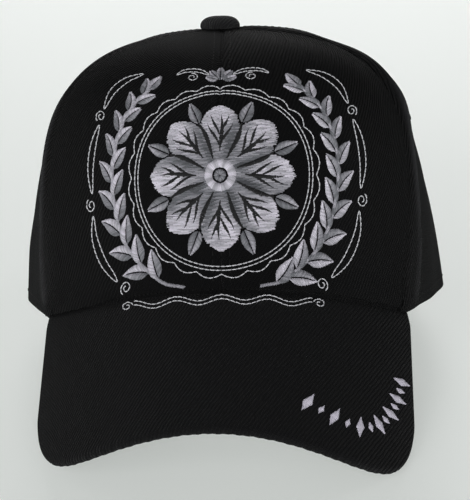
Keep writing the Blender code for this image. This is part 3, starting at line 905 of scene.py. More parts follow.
def washer_skin():
    skin, wiring, shader = new_skin("washer_metal", Coat_Roughness=0.3)
    scratches = wiring.noise(object_places(wiring), 1500.0, 4.0, 0.7)
    worn = wiring.between(scratches, 0.62, 0.72)
    colour = wiring.blend(worn, (0.02, 0.02, 0.021, 1.0), (0.30, 0.30, 0.31, 1.0))
    wiring.join(colour, shader.inputs["Base Color"])
    wiring.join(worn, shader.inputs["Metallic"])
    wiring.join(wiring.maths("MULTIPLY_ADD", scratches, 0.3, 0.3), shader.inputs["Roughness"])
    bumped(wiring, shader, scratches, 0.00005)
    return skin


def fuzz_skin():
    skin, wiring, shader = new_skin("hook_and_loop", Sheen_Weight=0.5, Sheen_Roughness=0.6)
    place = object_places(wiring)
    loops = wiring.node("ShaderNodeTexVoronoi", Vector=place, Scale=1400.0).outputs["Distance"]
    wiring.join(wiring.blend(loops, grey(0.004), grey(0.03)), shader.inputs["Base Color"])
    wiring.join(wiring.maths("MULTIPLY_ADD", loops, 0.2, 0.75), shader.inputs["Roughness"])
    bumped(wiring, shader, loops, 0.0004)
    return skin


def floor_skin():
    fixed = {"Specular_IOR_Level": 0.2, "Emission_Strength": 0.42}
    skin, wiring, shader = new_skin("studio_floor", **fixed)
    shader.inputs["Emission Color"].default_value = (0.95, 1.0, 0.96, 1.0)
    cloud = wiring.noise(object_places(wiring), 3.0, 2.0)
    colour = wiring.blend(cloud, (0.55, 0.56, 0.55, 1.0), (0.60, 0.61, 0.60, 1.0))
    wiring.join(colour, shader.inputs["Base Color"])
    return skin


# Lit and shaded copies of the one black twill: each shade is a painted light level for how the light reaches
# that part.
front_twill = twill_skin("front_twill", 1.0)
side_twill = twill_skin("side_twill", 1.45, painted_ridge_light=True)
strap_twill = twill_skin("strap_twill", 1.45)
visor_twill = twill_skin("visor_twill", 1.5)
black_buckram = woven_skin("black_buckram", 0.006, 0.016, 0.0011, 0.9)
black_cotton = woven_skin("black_cotton", 0.007, 0.013, 0.0006, 0.85)
black_tape = woven_skin("black_tape", 0.006, 0.017, 0.0007, 0.8)
# The button's much lighter copy is painted light from above.
button_twill = twill_skin("button_twill", 3.8, 0.0012)
black_thread = thread_skin("black_thread", ((0.0, grey(0.002)), (1.0, grey(0.009))), 0.75, 0.03, 0.2)
black_satin = thread_skin("black_satin", ((0.0, grey(0.004)), (1.0, grey(0.014))), 0.5, 0.05, 0.35)
silver_shades = (
    (0.0, (0.055, 0.058, 0.068, 1.0)), (0.35, (0.17, 0.175, 0.195, 1.0)),
    (0.7, (0.44, 0.43, 0.48, 1.0)), (1.0, (0.86, 0.82, 0.92, 1.0)),
)
silver_thread = thread_skin("silver_thread", silver_shades, 0.42, 0.2)
white_thread = thread_skin("white_thread", ((0.0, grey(0.42, 1.05)), (1.0, grey(0.86, 1.05))), 0.45, 0.15)
lilac_shades = ((0.0, (0.30, 0.28, 0.36, 1.0)), (1.0, (0.86, 0.82, 0.94, 1.0)))
lilac_thread = thread_skin("lilac_thread", lilac_shades, 0.40, 0.2)


# The crown

def spread_columns(width):
    """Distances across a panel at which its columns lie, closer together by both seams."""
    band = min(0.009, 0.3 * width)
    close = band * (np.arange(14) / 14) ** 1.15
    return np.concatenate([close, np.linspace(band, width - band, 25), (width - close)[::-1]])


def panel_grid(near, far):
    """Headings and rises of a panel's grid, from seam to seam and from the lower edge to the button."""
    low = np.concatenate([np.linspace(0.0, 0.03, 26)[:-1], np.linspace(0.03, 0.10, 15)[:-1]])
    shares = np.concatenate([low, np.linspace(0.10, 1.0, 84)])
    fine = np.linspace(near, far, 61)
    top = rise_near_top(fine, TOP_HOLE_RADIUS)
    headings, rises = [], []
    for share in shares:
        rise = top * (1.0 - (1.0 - share) ** 1.15)
        lengths = run_lengths(crown_face(fine, rise))
        spots = SEAM_GAP / 2 + spread_columns(lengths[-1] - SEAM_GAP)
        headings.append(np.interp(spots, lengths, fine))
        rises.append(np.interp(headings[-1], fine, rise))
    return np.array(headings), np.array(rises)


def outward(heading, rise):
    """The place and turn of something set in the crown with its Z axis outwards."""
    turn = Vector(crown_normal(heading, rise)).to_track_quat("Z", "Y").to_matrix().to_4x4()
    return Matrix.Translation(Vector(crown_face(heading, rise))) @ turn


def panels():
    """The six panels' outer cloth, bored for the eyelets and cut out for the opening."""
    upright = Matrix.Translation((REAR_SWING, EDGE_REACH[-1], 0.0)) @ Matrix.Rotation(math.pi / 2, 4, "X")
    for place_name, (near, far) in zip(("front", "side", "back"), zip(SEAM_HEADINGS, SEAM_HEADINGS[1:])):
        for side_name, side in (("left", 1), ("right", -1)):
            ends = sorted((side * math.radians(near), side * math.radians(far)))
            headings, rises = panel_grid(*ends)
            name = f"{place_name}_panel_{side_name}"
            cant = 0.2 if name == "front_panel_left" else 0.0
            skin = front_twill if place_name == "front" else side_twill
            piece = crown_layer(f"{name}_cloth", headings, rises, 0.0, CLOTH, skin, 0.0004, True, cant)
            cutters = []
            if place_name != "front":
                middle = side * math.radians((near + far) / 2)
                cutters.append((outward(middle, EYELET_RISE), EYELET_BORE + 0.0008, 32))
            if place_name == "back":
                cutters.append((upright, OPENING_RADIUS, 160))
            if cutters:
                bored(piece, cutters)
            settle(piece, [name])


def backings():
    """The stiff backing behind both front panels."""
    columns, rows = 40, 60
    share = np.linspace(0.0, 1.0, rows)[:, None]
    for side_name, side in (("left", 1), ("right", -1)):
        ends = sorted((side * math.radians(1.0), side * (SEAM_FRONT - math.radians(1.5))))
        headings = np.linspace(*ends, columns)[None] + np.zeros((rows, 1))
        rises = BACKING_FOOT + (rise_near_top(headings, BACKING_TOP_RADIUS) - BACKING_FOOT) * share
        name = f"front_backing_{side_name}"
        layer = headings, rises, BACKING_DEPTH, BACKING, black_buckram, 0.0002
        settle(crown_layer(f"{name}_buckram", *layer), [name])


def seam_line(seam, offset, low, high, steps):
    """Headings and rises of a line beside a seam, at a distance from it."""
    rises = np.linspace(low, high, steps)
    headings = seam + np.zeros(steps)
    for _ in range(3):
        headings = seam + offset / girth(headings, rises)
    return headings, rises


def tapes():
    """Binding over the seams inside the crown, each with two rows of stitches."""
    seams = {"tape_front": 0.0, "tape_rear": 180.0}
    for side_name, side in (("left", 1), ("right", -1)):
        seams[f"tape_front_{side_name}"] = side * SEAM_HEADINGS[1]
        seams[f"tape_side_{side_name}"] = side * SEAM_HEADINGS[2]
    for name, degrees in seams.items():
        seam = math.radians(degrees)
        low = float(rise_at(seam, OPENING_RADIUS + WIDE_MARGIN)) if name == "tape_rear" else TAPE_FOOT
        high = float(rise_near_top(seam, TAPE_TOP_RADIUS))
        rises = np.linspace(low, high, 70)[:, None] + np.zeros((1, 13))
        spots = np.linspace(-0.5, 0.5, 13)[None] * TAPE_WIDTH
        headings = seam + spots / girth(seam + 0.0 * rises, rises)
        piece = crown_layer(f"{name}_cloth", headings, rises, TAPE_DEPTH, TAPE, black_tape, 0.00025)
        settle(piece, [name])
        rows = []
        for offset in (-ROW_FROM_SEAM, ROW_FROM_SEAM):
            line = seam_line(seam, offset, low + 0.01, high - 0.01, 90)
            out = -crown_normal(*line)
            rows.append(stitches(crown_point(*line, TAPE_DEPTH + TAPE), out, SEAM_STITCH, INNER_THREAD))
        joined(f"{name}_stitches", rows, black_thread)


def seam_rows():
    """Topstitching on both sides of each seam, and the stitches that show in the seam itself."""
    names = ("centre", "rear", "front_left", "front_right", "side_left", "side_right")
    for name, seam in zip(names, SEAMS):
        low = SEAM_ROW_FOOT
        if seam == math.pi:
            low = float(rise_at(seam, OPENING_RADIUS + MARGIN))
        elif abs(seam) <= SEAM_FRONT:
            low = float(rise_at(seam, joint_height(seam) + MARGIN))
        high = float(rise_near_top(seam, BUTTON_RADIUS + 0.0015))
        rows = []
        widths = (SEAM_THREAD, SEAM_FLOAT, SEAM_THREAD)
        for offset, width in zip((-ROW_FROM_SEAM, 0.0, ROW_FROM_SEAM), widths):
            line = seam_line(seam, offset, low, high, 200)
            points, out = cloth_spot(*line, -0.00008)
            rows.append(stitches(points, out, SEAM_STITCH, width, tone=0.55))
        joined(f"seam_{name}_stitches", rows, black_thread)


def sweatband():
    """The band round the inside of the rim, from one side of the opening to the other."""
    end = math.pi - math.asin((OPENING_RADIUS + MARGIN) / EDGE_REACH[-1])
    columns, rows = 240, 18
    headings = np.linspace(-end, end, columns)[None] + np.zeros((rows, 1))
    low = lower_edge(headings) + BAND_RISE
    levels = low + BAND_WIDTH * np.linspace(0.0, 1.0, rows)[:, None]
    rises = rise_at(headings, levels)
    piece = crown_layer("sweatband_cotton", headings, rises, BAND_DEPTH, BAND, black_cotton, 0.00055)
    settle(piece, ["sweatband"])
    parts = []
    for level in BAND_ROWS:
        line = headings[0], rise_at(headings[0], low[0] + level)
        points = crown_point(*line, BAND_DEPTH + BAND)
        parts.append(stitches(points, -crown_normal(*line), SEAM_STITCH, INNER_THREAD))
    joined("sweatband_stitches", parts, black_thread)


def rim_rows():
    """The row of stitches that holds the band, just above the lower edge of the side and back panels."""
    end = math.pi - math.asin((OPENING_RADIUS + WIDE_MARGIN) / EDGE_REACH[-1])
    parts = []
    for side in (1, -1):
        headings = side * np.linspace(JOINT_END + 0.02, end, 160)
        line = headings, rise_at(headings, lower_edge(headings) + RIM_ROW)
        points, out = cloth_spot(*line, -0.00004)
        parts.append(stitches(points, out, SEAM_STITCH, SEAM_THREAD))
    joined("rim_stitches", parts, black_thread)


# The visor

def visor_cloth(name, node, top):
    """The cloth over or under the board, rolled at its edge towards the seam between the two."""
    columns, rows = 300, 52
    half = VISOR_HALF_WIDTH
    turns = np.sin(np.linspace(-1.0, 1.0, columns) * VISOR_SPREAD)
    across = half * turns[None] + np.zeros((rows, 1))
    share = 1.0 - (1.0 - np.linspace(0.0, 1.0, rows)[:, None]) ** 1.9
    near = 0.0 if top else VISOR_WHOLE - VISOR_CLOTH
    corner = math.asin(edge_point(JOINT_END)[0] / ARCH_RADIUS) * ARCH_RADIUS
    held = np.copysign(np.minimum(np.abs(across), corner), across) / ARCH_RADIUS
    joint = joint_along(held, near)
    past = np.maximum(np.abs(across) - corner, 0.0) / (half - corner)
    free = smooth_step(np.abs(across), corner - 0.003, corner)
    back = joint + (VISOR_SIDE - joint) * past - CORNER_TUCK * free
    scallop = 0.00012 * np.cos(2.0 * np.pi * across / 0.0039)
    scallop = scallop + 0.00008 * np.cos(2.0 * np.pi * across / 0.0091)
    front = visor_front(across) + scallop * (1.0 - smooth_step(np.abs(across), 0.07, 0.083))
    along = back + (front - back) * share
    edge = np.minimum(front - along, half * math.sin(VISOR_SPREAD) + 0.0004 - np.abs(across))
    edge = np.maximum(np.minimum(edge, along - back + ROLL_REACH * (1.0 - free)), 0.0)
    wander = 0.00013 * np.sin(90.0 * across + 60.0 * along) * np.sin(70.0 * along + 1.0)
    wander = wander * smooth_step(edge, 0.0, 0.02)
    roll = EDGE_ROLL * rounded(edge, ROLL_REACH)
    inside = np.minimum(roll, INNER_ROLL)
    tucked = JOINT_TUCK * rounded(along - back, JOINT_TUCK_REACH) * (1.0 - free)
    outer, inner = wander + roll + tucked, VISOR_CLOTH + wander + inside
    if not top:
        outer, inner = VISOR_WHOLE - VISOR_CLOTH - inside, VISOR_WHOLE - roll
    angle = across / ARCH_RADIUS
    lie = along + visor_skew(across) * share
    places = np.stack([across, -lie], -1)
    faces = visor_point(angle, lie, outer), visor_point(angle, lie, inner)
    piece = closed_sheet(name, faces[0][::-1], faces[1][::-1], places[::-1], visor_twill, 70.0)
    return settle(piece, [node])


def edge_line(inset, steps):
    """Flat places along the visor's edge, a distance inside it."""
    across = (VISOR_HALF_WIDTH - inset) * np.sin(np.linspace(-1.0, 1.0, steps) * VISOR_SPREAD)
    along = visor_front(across * VISOR_HALF_WIDTH / (VISOR_HALF_WIDTH - inset)) - inset
    return across, along + visor_skew(across)


def visor():
    """Both cloths, the board's own material and the stitches in the seam round the edge."""
    visor_cloth("visor_top_twill", "visor_top_cloth", True)
    visor_cloth("visor_under_twill", "visor_under_cloth", False)
    keep_solid("visor_board", board_skin())
    across, along = edge_line(0.0002, 400)
    angle = across / ARCH_RADIUS
    points = visor_point(angle, along, np.full(len(angle), VISOR_WHOLE / 2))
    side = unit(np.cross(np.gradient(points, axis=0), visor_normal(angle)))
    parts = [stitches(points, side, 0.0026, 0.0005, tone=0.6)]
    joined("visor_edge_stitches", parts, black_thread)


# The button, the eyelets, the opening and the strap

def button():
    """A domed button with gathers in its cloth, and its shank."""
    top = crown_face(0.0, 1.0) + (0.0, 0.0, BUTTON_LIFT)
    profile = [(0.0, BUTTON_HEIGHT)]
    for turn in np.radians(np.arange(5.0, 91.0, 5.0)):
        wide = BUTTON_RADIUS * (1.0 + 0.05 * (1.0 - math.cos(turn)))
        height = BUTTON_BROW + (BUTTON_HEIGHT - BUTTON_BROW) * math.cos(turn)
        profile.append((wide * math.sin(turn) ** 0.66, height))
    profile += [(BUTTON_RADIUS * 1.05, 0.0010), (BUTTON_RADIUS * 1.03, 0.0004), (BUTTON_RADIUS * 0.97, 0.0)]
    profile += [(SHANK_RADIUS * 1.6, 0.0001), (SHANK_RADIUS, -0.0004)]
    profile += [(SHANK_RADIUS, -SHANK_DEPTH), (0.0, -SHANK_DEPTH)]

    def gathers(radius, height, angles):
        low = smooth_step(radius, 0.006, 0.008) * (1.0 - smooth_step(height, 0.0012, 0.0034))
        fold = np.sin(17.0 * angles) + 0.6 * np.sin(29.0 * angles + 1.0)
        tilt = 0.00006 * np.sin(3.0 * angles) * (radius / 0.008)
        return radius - 0.00010 * low * (1.0 + fold), height + tilt

    spots, faces = revolved(profile, 96, gathers)
    reached = np.repeat(run_lengths(np.array(profile))[1:-1], 96)
    places = unit(spots[:-2, :2]) * reached[:, None]
    places = np.concatenate([places, np.zeros((2, 2))])
    piece = make_piece("crown_button_twill", spots + top, faces, places, button_twill, sharp=50.0)
    settle(piece, ["crown_button"])


def eyelet_stitches(matrix, height, flip):
    """Satin stitches laid from the hole outwards, all round it."""
    count = 46
    profile = [(1.65, -0.7), (1.62, 0.0), (1.95, 0.38), (2.8, 0.52), (3.6, 0.36), (4.1, 0.05), (4.18, -0.2)]
    profile = np.array(profile) * MM
    out = square_to(np.gradient(profile, axis=0))
    angles = 2.0 * np.pi * (np.arange(count) + chance.uniform(-0.15, 0.15, count)) / count
    ring = np.stack([np.cos(angles), np.sin(angles)], -1)

    def around(line):
        flat = ring[:, None] * line[None, :, 0, None]
        return np.concatenate([flat, np.broadcast_to(line[None, :, 1, None], flat.shape[:2] + (1,))], -1)

    spots, normals = around(profile), unit(around(out))
    spots[..., 2] = (spots[..., 2] + height) * flip
    normals[..., 2] = normals[..., 2] * flip
    turn = np.array(matrix.to_3x3())
    width = 2.0 * np.pi * profile[:, 0] / count * 1.25
    spots = spots @ turn.T + np.array(matrix.translation)
    return strands(spots, normals @ turn.T, width, 0.00022, 0.55 + chance.normal(0.0, 0.08, (count, 1)))


def eyelets():
    """Four eyelets, stitched outside and in."""
    for place_name, (near, far) in zip(("side", "back"), zip(SEAM_HEADINGS[1:], SEAM_HEADINGS[2:])):
        for side_name, side in (("left", 1), ("right", -1)):
            heading = side * math.radians((near + far) / 2)
            matrix = outward(heading, EYELET_RISE)
            lift = float(relief(np.array(heading), np.array(EYELET_RISE)))
            parts = [eyelet_stitches(matrix, lift + 0.0001, 1.0)]
            parts.append(eyelet_stitches(matrix, CLOTH - lift, -1.0))
            name = f"eyelet_{place_name}_{side_name}"
            joined(f"{name}_stitches", parts, black_thread, [name])


def opening_line(radius, steps, spread):
    """Headings and rises along the half-moon opening, at a radius from the middle of its foot."""
    turns = np.radians(np.linspace(-spread, spread, steps))
    side, height = radius * np.sin(turns), radius * np.cos(turns)
    headings = np.full(steps, math.pi)
    for _ in range(8):
        rises = rise_at(headings, height)
        headings = headings + (crown_face(headings, rises)[:, 0] - REAR_SWING - side) / EDGE_REACH[-1]
    return headings, rise_at(headings, height)


def opening():
    """A tape folded over the cut edge of the back panels, outside and in, and its two rows of stitches."""
    points, out = cloth_spot(*opening_line(OPENING_RADIUS, 160, 86.0), 0.0)
    folded = [(2.2, 0.06), (2.1, 0.44), (0.2, 0.50), (-0.5, 0.30), (-0.85, -0.1), (-0.85, -0.9)]
    folded += [(-0.5, -1.35), (0.2, -1.5), (4.2, -1.5), (4.3, -1.12), (0.3, -1.06)]
    folded += [(-0.15, -0.9), (-0.3, -0.1), (0.2, 0.06)]
    tape = swept(points, out, np.array(folded) * MM)
    joined("opening_binding_tape", [tape], black_tape, ["opening_binding"], 40.0)
    parts = []
    for off, lift in zip(OPENING_ROWS, (0.00044, 0.0)):
        points, out = cloth_spot(*opening_line(OPENING_RADIUS + off, 160, 84.0), lift - 0.00006)
        parts.append(stitches(points, out, SEAM_STITCH, SEAM_THREAD, tone=0.55))
    joined("opening_stitches", parts, black_thread)


def inner_strap_depth(turns):
    """The inner half lies under the outer one and comes out to its depth past the lap."""
    part = np.clip((-turns - STRAP_LAP) / (0.5 * (STRAP_REACH - STRAP_LAP)), 0.0, 1.0)
    return STRAP_INNER_DEPTH + (STRAP_OUTER_DEPTH - STRAP_INNER_DEPTH) * part * part * (3.0 - 2.0 * part)


def strap_strip(name, node, ends, depth_of, skin, inset=0.0, thickness=STRAP):
    """A strip between two turns from the rear, in degrees, with its depth by turn."""
    columns, rows = 110, 14
    turns = np.linspace(ends[1], ends[0], columns)
    headings = (np.pi - np.radians(turns))[None] + np.zeros((rows, 1))
    levels = STRAP_RISE + inset + (STRAP_WIDTH - 2 * inset) * np.linspace(0.0, 1.0, rows)[:, None]
    rises = rise_at(headings, levels + np.zeros(headings.shape))
    piece = crown_layer(name, headings, rises, depth_of(turns)[None], thickness, skin, 0.45 * thickness)
    settle(piece, [node])


def level_at(depth):
    return lambda turns: depth + 0.0 * turns


def strap_row(headings, levels):
    """A row of stitches on the outer half of the strap."""
    line = headings, rise_at(headings, STRAP_RISE + levels)
    return stitches(crown_point(*line, STRAP_OUTER_DEPTH), crown_normal(*line), SEAM_STITCH, SEAM_THREAD)


def strap():
    """The strap's two halves, their rows of stitches and the pile of the patches between them."""
    outer = (-STRAP_LAP, STRAP_REACH)
    inner = (-STRAP_REACH, STRAP_LAP)
    strap_strip("strap_outer_twill", "strap_outer", outer, level_at(STRAP_OUTER_DEPTH), strap_twill)
    strap_strip("strap_inner_twill", "strap_inner", inner, inner_strap_depth, strap_twill)
    first, last = -STRAP_LAP + 1.2, STRAP_LAP - 1.5
    parts = []
    for end in (last, STRAP_REACH - 1.0):
        headings = np.pi - np.radians(np.linspace(first, end, 80))
        parts += [strap_row(headings, level) for level in STRAP_ROWS]
    for turn in (first, last):
        parts.append(strap_row(np.full(40, np.pi - math.radians(turn)), np.linspace(*STRAP_ROWS, 40)))
    joined("strap_stitches", parts, black_thread)
    fuzz = fuzz_skin()
    patch, deep = (1.5 - STRAP_LAP, STRAP_LAP - 1.5), STRAP_OUTER_DEPTH + STRAP + 0.0003
    for node, depth in (("strap_loop_patch", deep), ("strap_hook_patch", deep + 0.0007)):
        strap_strip(f"{node}_pile", node, patch, level_at(depth), fuzz, 0.0015, 0.0004)


# The needlework on the front: places are flat, across and up from the foot of the centre seam

@functools.cache
def front_table():
    """Headings on the front by rise and by distance across, and the distance up at each rise."""
    rises = np.linspace(0.0, 0.85, 171)
    headings = np.radians(np.linspace(0.0, 78.0, 157))
    points = crown_face(headings[None], rises[:, None])
    across = run_lengths(points)
    reached = np.linspace(0.0, 0.09, 181)
    table = np.array([np.interp(reached, row, headings) for row in across])
    up = run_lengths(points[:, 0])
    return rises, up - np.interp(JOINT_RISE, points[:, 0, 2], up), reached, table


def front_spot(across, up):
    rises, ups, reached, table = front_table()
    rise = np.interp(up, ups, rises)
    row = np.clip(rise / rises[1], 0.0, len(rises) - 1.001)
    column = np.clip(np.abs(across) / reached[1], 0.0, len(reached) - 1.001)
    low, left = row.astype(int), column.astype(int)
    high_share, far_share = row - low, column - left
    lower = table[low, left] * (1.0 - far_share) + table[low, left + 1] * far_share
    upper = table[low + 1, left] * (1.0 - far_share) + table[low + 1, left + 1] * far_share
    return np.copysign(lower * (1.0 - high_share) + upper * high_share, across), rise


def on_crown(flat, lift):
    """Points and directions for flat places on the front, lifted off the cloth."""
    line = front_spot(flat[..., 0], flat[..., 1])
    return cloth_spot(*line, lift)


def on_visor(flat, lift):
    """The same for the visor: across, and forward of the joint as a negative height."""
    angle = flat[..., 0] / ARCH_RADIUS
    level = np.zeros(angle.shape)
    along = joint_along(angle, 0.0) - flat[..., 1]
    return visor_point(angle, along + level, level - lift), visor_normal(angle)


def bezier(controls, count):
    """Points along one smooth curve through its control polygon."""
    spots = np.asarray(controls, float)
    share = np.linspace(0.0, 1.0, count)[:, None]
    order = len(spots) - 1
    shares = [math.comb(order, k) * (1 - share) ** (order - k) * share**k for k in range(order + 1)]
    return sum(part * spot for part, spot in zip(shares, spots))


def smooth_line(controls, count):
    """Points along a curve that passes through every control."""
    spots = np.asarray(controls, float)
    ends = np.concatenate([2 * spots[:1] - spots[1:2], spots, 2 * spots[-1:] - spots[-2:-1]])
    share = np.linspace(0.0, len(spots) - 1.0, count)
    step = np.minimum(share.astype(int), len(spots) - 2)
    t = (share - step)[:, None]
    a, b, c, d = ends[step], ends[step + 1], ends[step + 2], ends[step + 3]
    return 0.5 * (2 * b + (c - a) * t + (2 * a - 5 * b + 4 * c - d) * t**2 + (3 * b - a - 3 * c + d) * t**3)


def satin(starts, ends, tone, puff, surface=on_crown, steps=6):
    """Satin stitches from one edge to the other, standing proud in the middle."""
    share = np.linspace(0.0, 1.0, steps)
    flat = starts[:, None] + (ends - starts)[:, None] * share[None, :, None]
    flat = flat + chance.normal(0.0, 0.00004, (len(starts), 1, 2))
    span = np.linalg.norm(ends - starts, axis=-1)[:, None]
    arch = np.sin(np.pi * share)[None] ** 0.7
    lift = SATIN_BASE * (2.0 * arch - 1.0) + np.minimum(puff, 0.10 * span) * arch
    points, out = surface(flat, lift)
    jitter = chance.normal(0.0, 0.045, (len(starts), 1))
    return strands(points, out, SATIN_WIDTH, SATIN_HEIGHT, tone + jitter)


def leaf(foot, tip, bend, half_width, tones):
    """A leaf or petal in two satin halves, with stitches running from its midrib out towards the tip."""
    foot, tip = np.asarray(foot, float), np.asarray(tip, float)
    way = tip - foot
    square = square_to(way) / np.linalg.norm(way)
    spine = bezier([foot, foot + 0.5 * way + square * bend, tip], 120)
    sideways = square_to(unit(np.gradient(spine, axis=0)))
    run = run_lengths(spine)
    length = run[-1]
    count = int(length * 1.12 / SATIN_PITCH)
    start = np.linspace(-0.10, 1.0, count)
    middle = np.clip(start, 0.0, 1.0)
    out_at = np.clip(start + 0.30 * (1.0 - 0.75 * middle) * 0.7, 0.0, 1.0)

    def off_spine(share, far):
        return along_line(share * length, run, spine) + unit(along_line(share * length, run, sideways)) * far

    width = half_width * np.sin(np.pi * out_at**0.75) ** 0.85
    parts = []
    for side, tone in ((1.0, tones[0]), (-1.0, tones[1])):
        starts = off_spine(middle, side * RIB_HALF_GAP)
        ends = off_spine(out_at, side * width[:, None])
        keep = np.linalg.norm(ends - starts, axis=-1) > SHORTEST_SATIN
        uneven = 0.06 * np.sign(chance.normal(0.0, 1.0, keep.sum()))
        shade = tone[0] + (tone[1] - tone[0]) * middle[keep] + uneven
        parts.append(satin(starts[keep], ends[keep], shade[:, None], 0.0008))
    return parts


def band(line, half_widths, tone, slant=0.0, puff=0.0006, surface=on_crown):
    """Satin stitches across a line, such as a stem. The more the puff, the prouder the line."""
    run = run_lengths(line)
    count = max(2, int(run[-1] / SATIN_PITCH))
    spots = np.linspace(0.0, run[-1], count)
    middle = along_line(spots, run, line)
    tangent = unit(along_line(spots, run, np.gradient(line, run, axis=0)))
    square = unit(tangent * slant + square_to(tangent))

    def spread(values):
        return np.interp(spots / run[-1], np.linspace(0.0, 1.0, len(values)), values)[:, None]

    half, tone = spread(half_widths), spread(tone)
    return satin(middle - square * half, middle + square * half, tone, puff, surface, 5)


def outline(flat, surface=on_crown):
    """Running stitches along a flat line."""
    points, out = surface(flat, np.zeros(len(flat)))
    return stitches(points, out, OUTLINE_STITCH, OUTLINE_WIDTH, 0.00012, 0.75, 0.00016, 6)


def spiral(middle, radius, start, turns):
    """A scroll that winds inwards to a quarter of its radius."""
    angles = start + np.linspace(0.0, 2.0 * np.pi * turns, 120)
    far = radius * np.linspace(1.0, 0.25, 120)
    return np.asarray(middle) + far[:, None] * np.stack([np.sin(angles), np.cos(angles)], -1)


def laid(starts, ends, tone):
    """Short fill stitches, each from one needle hole to the next."""
    share = np.linspace(0.0, 1.0, 5)
    flat = starts[:, None] + (ends - starts)[:, None] * share[None, :, None]
    arch = np.sin(np.pi * share)[None] ** 0.5
    points, out = on_crown(flat, np.broadcast_to(FILL_LIFT + 0.00030 * arch - 0.00014, flat.shape[:2]))
    return strands(points, out, FILL_WIDTH, FILL_HEIGHT, tone)


def fill(inside, middle, far, lean, tone_at):
    """Rows of fill stitches over a shape, each row broken at other places than the one before it."""
    way = np.array((math.cos(lean), math.sin(lean)))
    square = square_to(way)
    steps = np.arange(-far, far, 0.00015)
    starts, ends = [], []
    for number, offset in enumerate(np.arange(-far, far, FILL_PITCH)):
        row = middle + square * offset
        held = inside(row + way * steps[:, None])
        changes = np.flatnonzero(np.diff(np.concatenate([[0], held.astype(int), [0]])))
        for first, last in changes.reshape(-1, 2):
            low = steps[first] + chance.normal(0.0, 0.0003)
            high = steps[last - 1] + chance.normal(0.0, 0.0003)
            cuts = np.arange((number * 0.29 % 1.0) * FILL_STITCH - far - FILL_STITCH, high, FILL_STITCH)
            cuts = cuts[(cuts > low + SHORTEST_FILL) & (cuts < high - SHORTEST_FILL)]
            holes = np.concatenate([[low], cuts, [max(high, low + SHORTEST_FILL)]])
            starts.append(row + way * holes[:-1, None])
            ends.append(row + way * holes[1:, None])
    starts, ends = np.concatenate(starts), np.concatenate(ends)
    ends = ends + chance.normal(0.0, 0.00006, ends.shape)
    tone = tone_at((starts + ends) / 2) + chance.normal(0.0, 0.10, len(starts))
    return laid(starts, ends, np.clip(tone, 0.0, 1.0)[:, None])


FLOWER = np.array((0.0, 45.0)) * MM
PETALS = 8
PETAL_TURN = 2.0 * math.pi / PETALS


def around_flower(radius, turn):
    return FLOWER + np.asarray(radius)[..., None] * MM * np.stack([np.sin(turn), np.cos(turn)], -1)


def petal_reach(turn):
    """How far the flower's edge lies from its middle, in millimetres."""
    share = np.abs(wrapped(turn * PETALS)) / np.pi
    return 28.8 * (1.0 - 0.27 * share**2.3) + 1.2 * (1.0 - share) ** 5


def from_flower(flat):
    """Millimetres across, up and in all from the flower's middle, and the turn from its top."""
    across, up = np.moveaxis((flat - FLOWER) / MM, -1, 0)
    return across, up, np.hypot(across, up), np.arctan2(across, up)


def in_flower(flat):
    far, turn = from_flower(flat)[2:]
    return (far > 6.2) & (far < petal_reach(turn))


def flower_tone(flat):
    """Light towards the petals' tips, dull by their feet, with cooler patches here and there."""
    across, up, far, turn = from_flower(flat)
    within = wrapped(turn * PETALS) / np.pi
    tone = 0.50 + 0.36 * smooth_step(far, 8.0, 22.0) - 0.22 * smooth_step(np.abs(within), 0.35, 1.0)
    patches = np.sin(0.31 * across + 0.9) * np.sin(0.27 * up + 0.23 * across)
    return tone + 0.12 * patches - 0.26 * smooth_step(within, 0.05, 0.75)


def dark_line(radius, turn, half_widths):
    """A black satin line over the flower's fill."""
    return band(around_flower(radius, turn), np.array(half_widths) * MM, (0.4, 0.6), 0.2, LINE_LIFT)


def flower():
    """The filled petals, the small leaves between them, their dark lines, the heart and the rings."""
    body = fill(in_flower, FLOWER, 32.0 * MM, 0.0, flower_tone)
    joined("flower_fill", [body], silver_thread)
    leaves, heart, black = [], [], []
    for number in range(PETALS):
        turn = PETAL_TURN * (number + 0.5)
        foot, tip = around_flower(23.6, turn), around_flower(34.0, turn)
        leaves += leaf(foot, tip, 0.0, 2.7 * MM, ((0.45, 0.85), (0.25, 0.6)))
        swung = turn + 0.05 * np.sin(np.linspace(0.0, np.pi, 60))
        black.append(dark_line(np.linspace(7.4, 22.6, 60), swung, (0.50, 1.15, 1.45, 0.45)))
        turn = PETAL_TURN * number
        swung = turn + 0.05 * np.sin(np.linspace(0.0, 2.6, 60))
        black.append(dark_line(np.linspace(10.0, 25.0, 60), swung, (0.40, 1.35, 1.00, 0.20)))
        for side in (1.0, -1.0):
            for near, far, swing in ((12.5, 21.5, 0.24), (17.0, 25.0, 0.15)):
                swung = turn + side * swing * np.sin(np.linspace(0.15, 1.5, 40)) ** 1.3
                black.append(dark_line(np.linspace(near, far, 40), swung, (0.60, 0.95, 0.20)))
    for near, far, tone in ((3.1, 6.7, 0.85), (0.2, 2.5, 0.45)):
        count = int(2.0 * np.pi * (near + far) / 2 * MM / SATIN_PITCH * 1.15)
        turns = 2.0 * np.pi * np.arange(count) / count
        shade = np.full((count, 1), tone) + 0.12 * np.cos(PETALS * turns)[:, None]
        starts, ends = (around_flower(np.full(count, radius), turns) for radius in (near, far))
        heart.append(satin(starts, ends, shade, 0.0009))
    joined("flower_leaves", leaves, silver_thread)
    joined("flower_lines", black, black_satin)
    joined("flower_heart", heart, silver_thread)
    turns = np.linspace(0.0, 2.0 * np.pi, 900)
    lobes = 38.6 + 1.6 * np.abs(np.sin(12.0 * turns))
    rings = [outline(around_flower(np.full(900, radius), turns)) for radius in (35.6, 37.1)]
    rings.append(outline(around_flower(lobes, turns)))
    joined("flower_rings", rings, white_thread)


def turned(spots):
    """Flat places from millimetres off the flower's middle and degrees round it from its top."""
    spots = np.asarray(spots, float)
    return around_flower(spots[:, 0], np.radians(spots[:, 1]))


